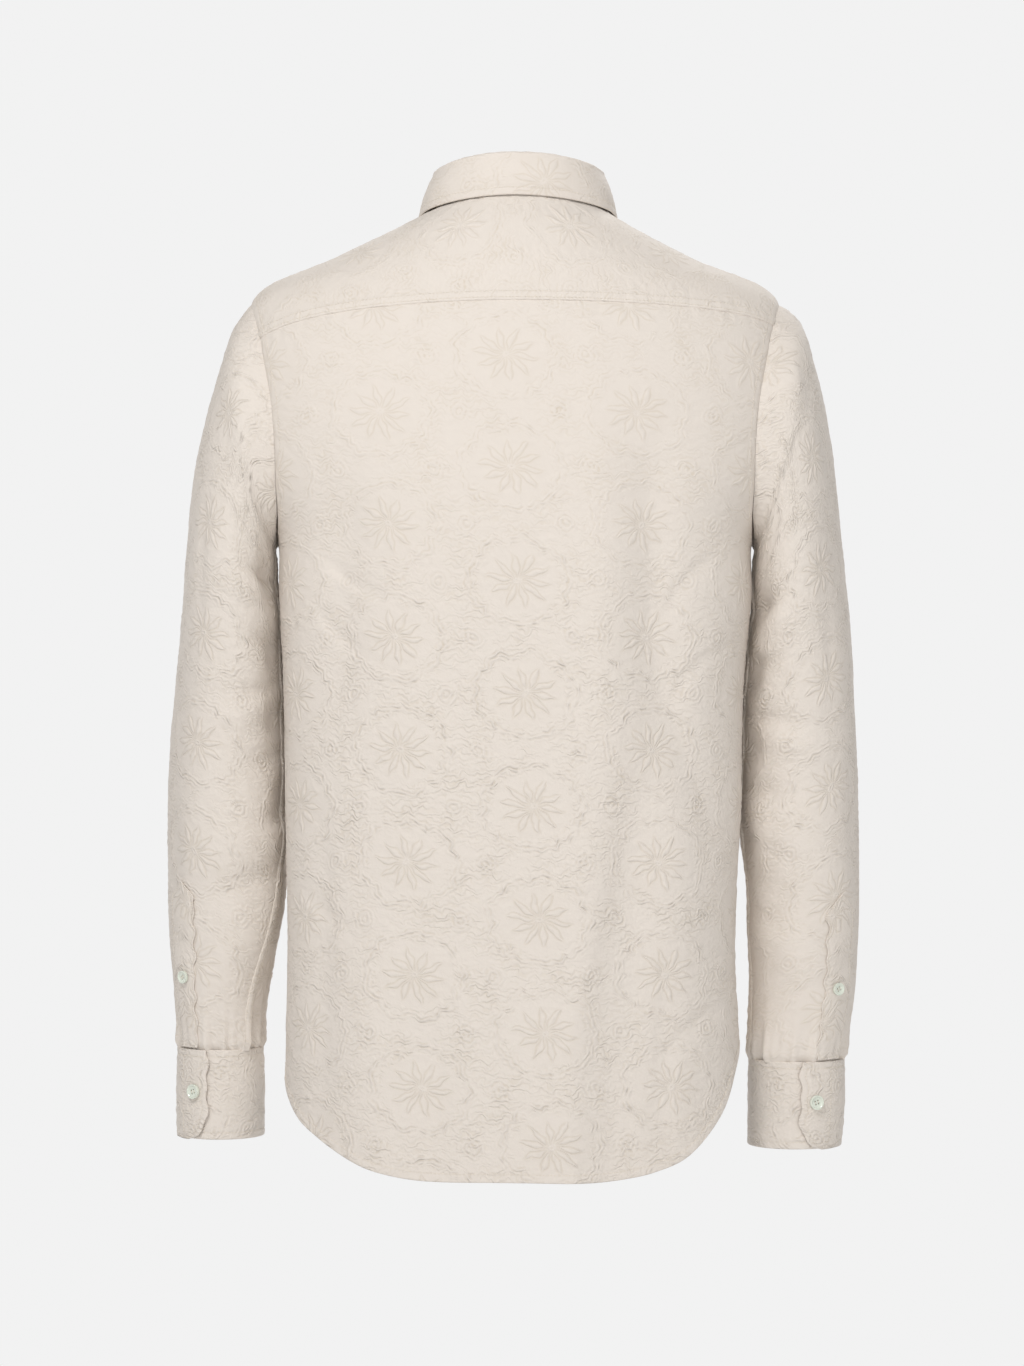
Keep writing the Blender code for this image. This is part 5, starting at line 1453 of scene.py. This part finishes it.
for across in (-1, 1):
    for up in (-1, 1):
        bpy.ops.mesh.primitive_cylinder_add(
            vertices=14, radius=HOLE_RADIUS, depth=0.01, location=(across * HOLE_AWAY, up * HOLE_AWAY, 0)
        )
        drill = bpy.context.object
        cut = blank.modifiers.new("hole", "BOOLEAN")
        cut.object = drill
        bpy.context.view_layer.objects.active = blank
        bpy.ops.object.modifier_apply(modifier="hole")
        bpy.data.objects.remove(drill)
soften = blank.modifiers.new("soft", "BEVEL")
soften.width = 0.00016
soften.segments = 2
soften.limit_method = "ANGLE"
soften.angle_limit = math.radians(32)
bpy.ops.object.modifier_apply(modifier="soft")
bpy.ops.object.select_all(action="DESELECT")
blank.select_set(True)
bpy.ops.object.shade_smooth_by_angle(angle=math.radians(40))
blank.data.materials.append(shell.material)
sewn_buttons = []


def button(node, place, out, size, turn=0.0):
    """A button on its cloth, in the place of its solid."""
    turned = Vector(out).to_track_quat("Z", "Y").to_matrix().to_4x4()
    spot = Matrix.Translation(Vector(place + out * SEAM * 1.6)) @ turned @ Matrix.Rotation(turn, 4, "Z")
    mesh = blank.data.copy()
    mesh.transform(spot @ Matrix.Scale(size / FRONT_BUTTON, 4))
    obj = bpy.data.objects.new(node + "_shell", mesh)
    stage.collection.objects.link(obj)
    declare(obj, node)
    sewn_buttons.append((spot, size))


for number, level in enumerate(FRONT_BUTTON_LEVELS, 1):
    angle = angle_at(np.array(0.0), np.array(level))
    out = body_out(angle, np.array(level))
    button("front_button_" + str(number), body(angle, level) + out * FRONT_BAND_TOP, out, FRONT_BUTTON)
up = stand_point(math.pi, 0.65) - stand_point(math.pi, 0.45)
out = unit(np.cross([1, 0, 0], up))
button("collar_button", stand_point(math.pi, 0.55), out if out[1] < 0 else -out, FRONT_BUTTON * 0.9)
for side in ("left", "right"):
    run, share = 1 - CUFF_BUTTON_IN / CUFF_LENGTH, 0.48
    along = cuff_point(side, run + 0.01, share) - cuff_point(side, run - 0.01, share)
    down = cuff_point(side, run, share + 0.05) - cuff_point(side, run, share - 0.05)
    out = unit(np.cross(along, down))
    out = out if out[1] > 0 else -out
    button("cuff_button_" + side, cuff_point(side, run, share), out, FRONT_BUTTON, 0.3)
    turn = np.array(PLACKET_EDGE[side] + 0.4 * PLACKET_WIDTH / PLACKET_RADIUS)
    length = np.array(sleeve_knots(side)[-1] - PLACKET_BUTTON_UP)
    out = sleeve_out(side, turn, length)
    place = sleeve(side, turn, length, 4) + out * PLACKET_TOP
    button("sleeve_placket_button_" + side, place, out, PLACKET_BUTTON, 0.5)
bpy.data.objects.remove(blank)

# Stitching: rows of short thread stitches along the seams, hem and edges, and the threads that
# hold the buttons.
STITCH_PITCH = 0.0028
STITCH_LENGTH = 0.0021
THREAD = 0.00024
THREAD_LIFT = 0.000124
thread_points, thread_faces = [], []


def thread_bar(centre, along, out, length, radius=THREAD, sink=0.00022):
    """One stitch: a short thread, thick in the middle, whose ends go down into the cloth."""
    along, out = unit(along), unit(out)
    side = np.cross(out, along)
    first = len(thread_points)
    for place, thick, drop in ((-0.5, 0.45, 1.0), (-0.28, 1.0, 0.0), (0.28, 1.0, 0.0), (0.5, 0.45, 1.0)):
        middle = centre + along * place * length - out * drop * sink
        for k in range(4):
            turn = math.pi * (0.25 + k / 2)
            offset = side * math.cos(turn) * 1.25 + out * math.sin(turn)
            thread_points.append(middle + offset * thick * radius)
    for ring in range(3):
        low = first + 4 * ring
        for k in range(4):
            n = (k + 1) % 4
            thread_faces.append((low + k, low + n, low + 4 + n, low + 4 + k))
    thread_faces.append((first + 3, first + 2, first + 1, first))
    thread_faces.append((first + 12, first + 13, first + 14, first + 15))


trees = {}


def cloth_under(piece, place, out):
    """Where a piece's surface lies under a place, or nothing."""
    if piece not in trees:
        mesh = cloths[piece].data
        trees[piece] = bvhtree.BVHTree.FromPolygons(
            [spot.co for spot in mesh.vertices], [tuple(face.vertices) for face in mesh.polygons]
        )
    return trees[piece].ray_cast(Vector(place + out * 0.004), Vector(-out), 0.012)[0]


def sew(piece, points, outs):
    """A row of stitches on a piece along a line, lying on its surface."""
    steps = lengths_of(points)
    marks = np.arange(STITCH_PITCH / 2, steps[-1], STITCH_PITCH)
    ahead = points_at(marks + 0.0008, steps, points)
    for centre, out, after in zip(points_at(marks, steps, points), points_at(marks, steps, outs), ahead):
        hit = cloth_under(piece, centre, out)
        along = after - centre
        along = along - out * np.dot(along, out)
        if hit is not None and np.linalg.norm(along) > 1e-6:
            thread_bar(np.array(hit) + out * THREAD_LIFT, along, out, STITCH_LENGTH)


def sew_beside(piece, run, away):
    """A row of stitches beside an edge of a piece, on the piece's own side of it."""
    points, outs = body(*run.T), body_out(*run.T)
    sideways = unit(np.cross(outs, np.gradient(points, axis=0)))
    half = len(points) // 2
    for direction in (1, -1):
        moved = points + sideways * away * direction
        if cloth_under(piece, moved[half], outs[half]) is not None:
            sew(piece, moved, outs)
            return


for piece, edges in (("back", back_edges), ("front_left", front_edges(1)), ("front_right", front_edges(-1))):
    for kind, run in edges:
        if kind == "hem":
            sew_beside(piece, run, 0.0061)
for side in (1, -1):
    sew_beside("back", side_run(side, True), 0.0016)
    sew_beside("back", side_run(side, True), 0.0064)
    sew_beside("back", arm_run(0.1, yoke_corner(side) - 0.03, side), 0.0068)
sew_beside("yoke", yoke_edges[0][1], 0.0018)
sew_beside("yoke", yoke_edges[0][1], 0.0066)
for side in (1, -1):
    sew_beside("yoke", arm_run(yoke_corner(side) + 0.03, YOKE_FRONT_TURN - 0.03, side), 0.0068)
    piece = "front_left" if side > 0 else "front_right"
    arm = arm_run(YOKE_FRONT_TURN + 0.03, 2 * math.pi - 0.1, side)
    sew_beside(piece, arm, 0.0068)
    sew_beside(piece, shoulder_run(side), 0.0018)
for side in ("left", "right"):
    end = sleeve_knots(side)[-1]
    lengths = np.linspace(0.010, end - 0.002, 400)
    start = np.radians(smooth(lengths / end, SEAM_PATH["share"], SEAM_PATH[side]))
    for away in SEAM_STITCHES:
        turns = start + 2 * math.pi + away / SEAM_RADIUS
        sew("sleeve_" + side, sleeve(side, turns, lengths), sleeve_out(side, turns, lengths))
for piece, points, outs in stitch_rows:
    sew(piece, points, outs)
for spot, size in sewn_buttons:
    turned = np.array(spot.to_3x3())
    for across in (-1, 1):
        place = np.array(spot @ Vector((across * HOLE_AWAY * size / FRONT_BUTTON, 0, BUTTON_THICK * 0.62)))
        thread_bar(place, turned[:, 1], turned[:, 2], 0.0026, 0.00032, 0.0005)
thread_mesh = bpy.data.meshes.new("stitching")
thread_mesh.from_pydata(np.array(thread_points).tolist(), [], thread_faces)
thread_mesh.polygons.foreach_set("use_smooth", np.ones(len(thread_mesh.polygons), bool))
thread = Finish("sewing_thread", {"Roughness": 0.55, "Specular IOR Level": 0.35, "Base Color": THREAD_COLOUR})
thread_mesh.materials.append(thread.material)
stitching = bpy.data.objects.new("stitching", thread_mesh)
stage.collection.objects.link(stitching)
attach(stitching, "root")
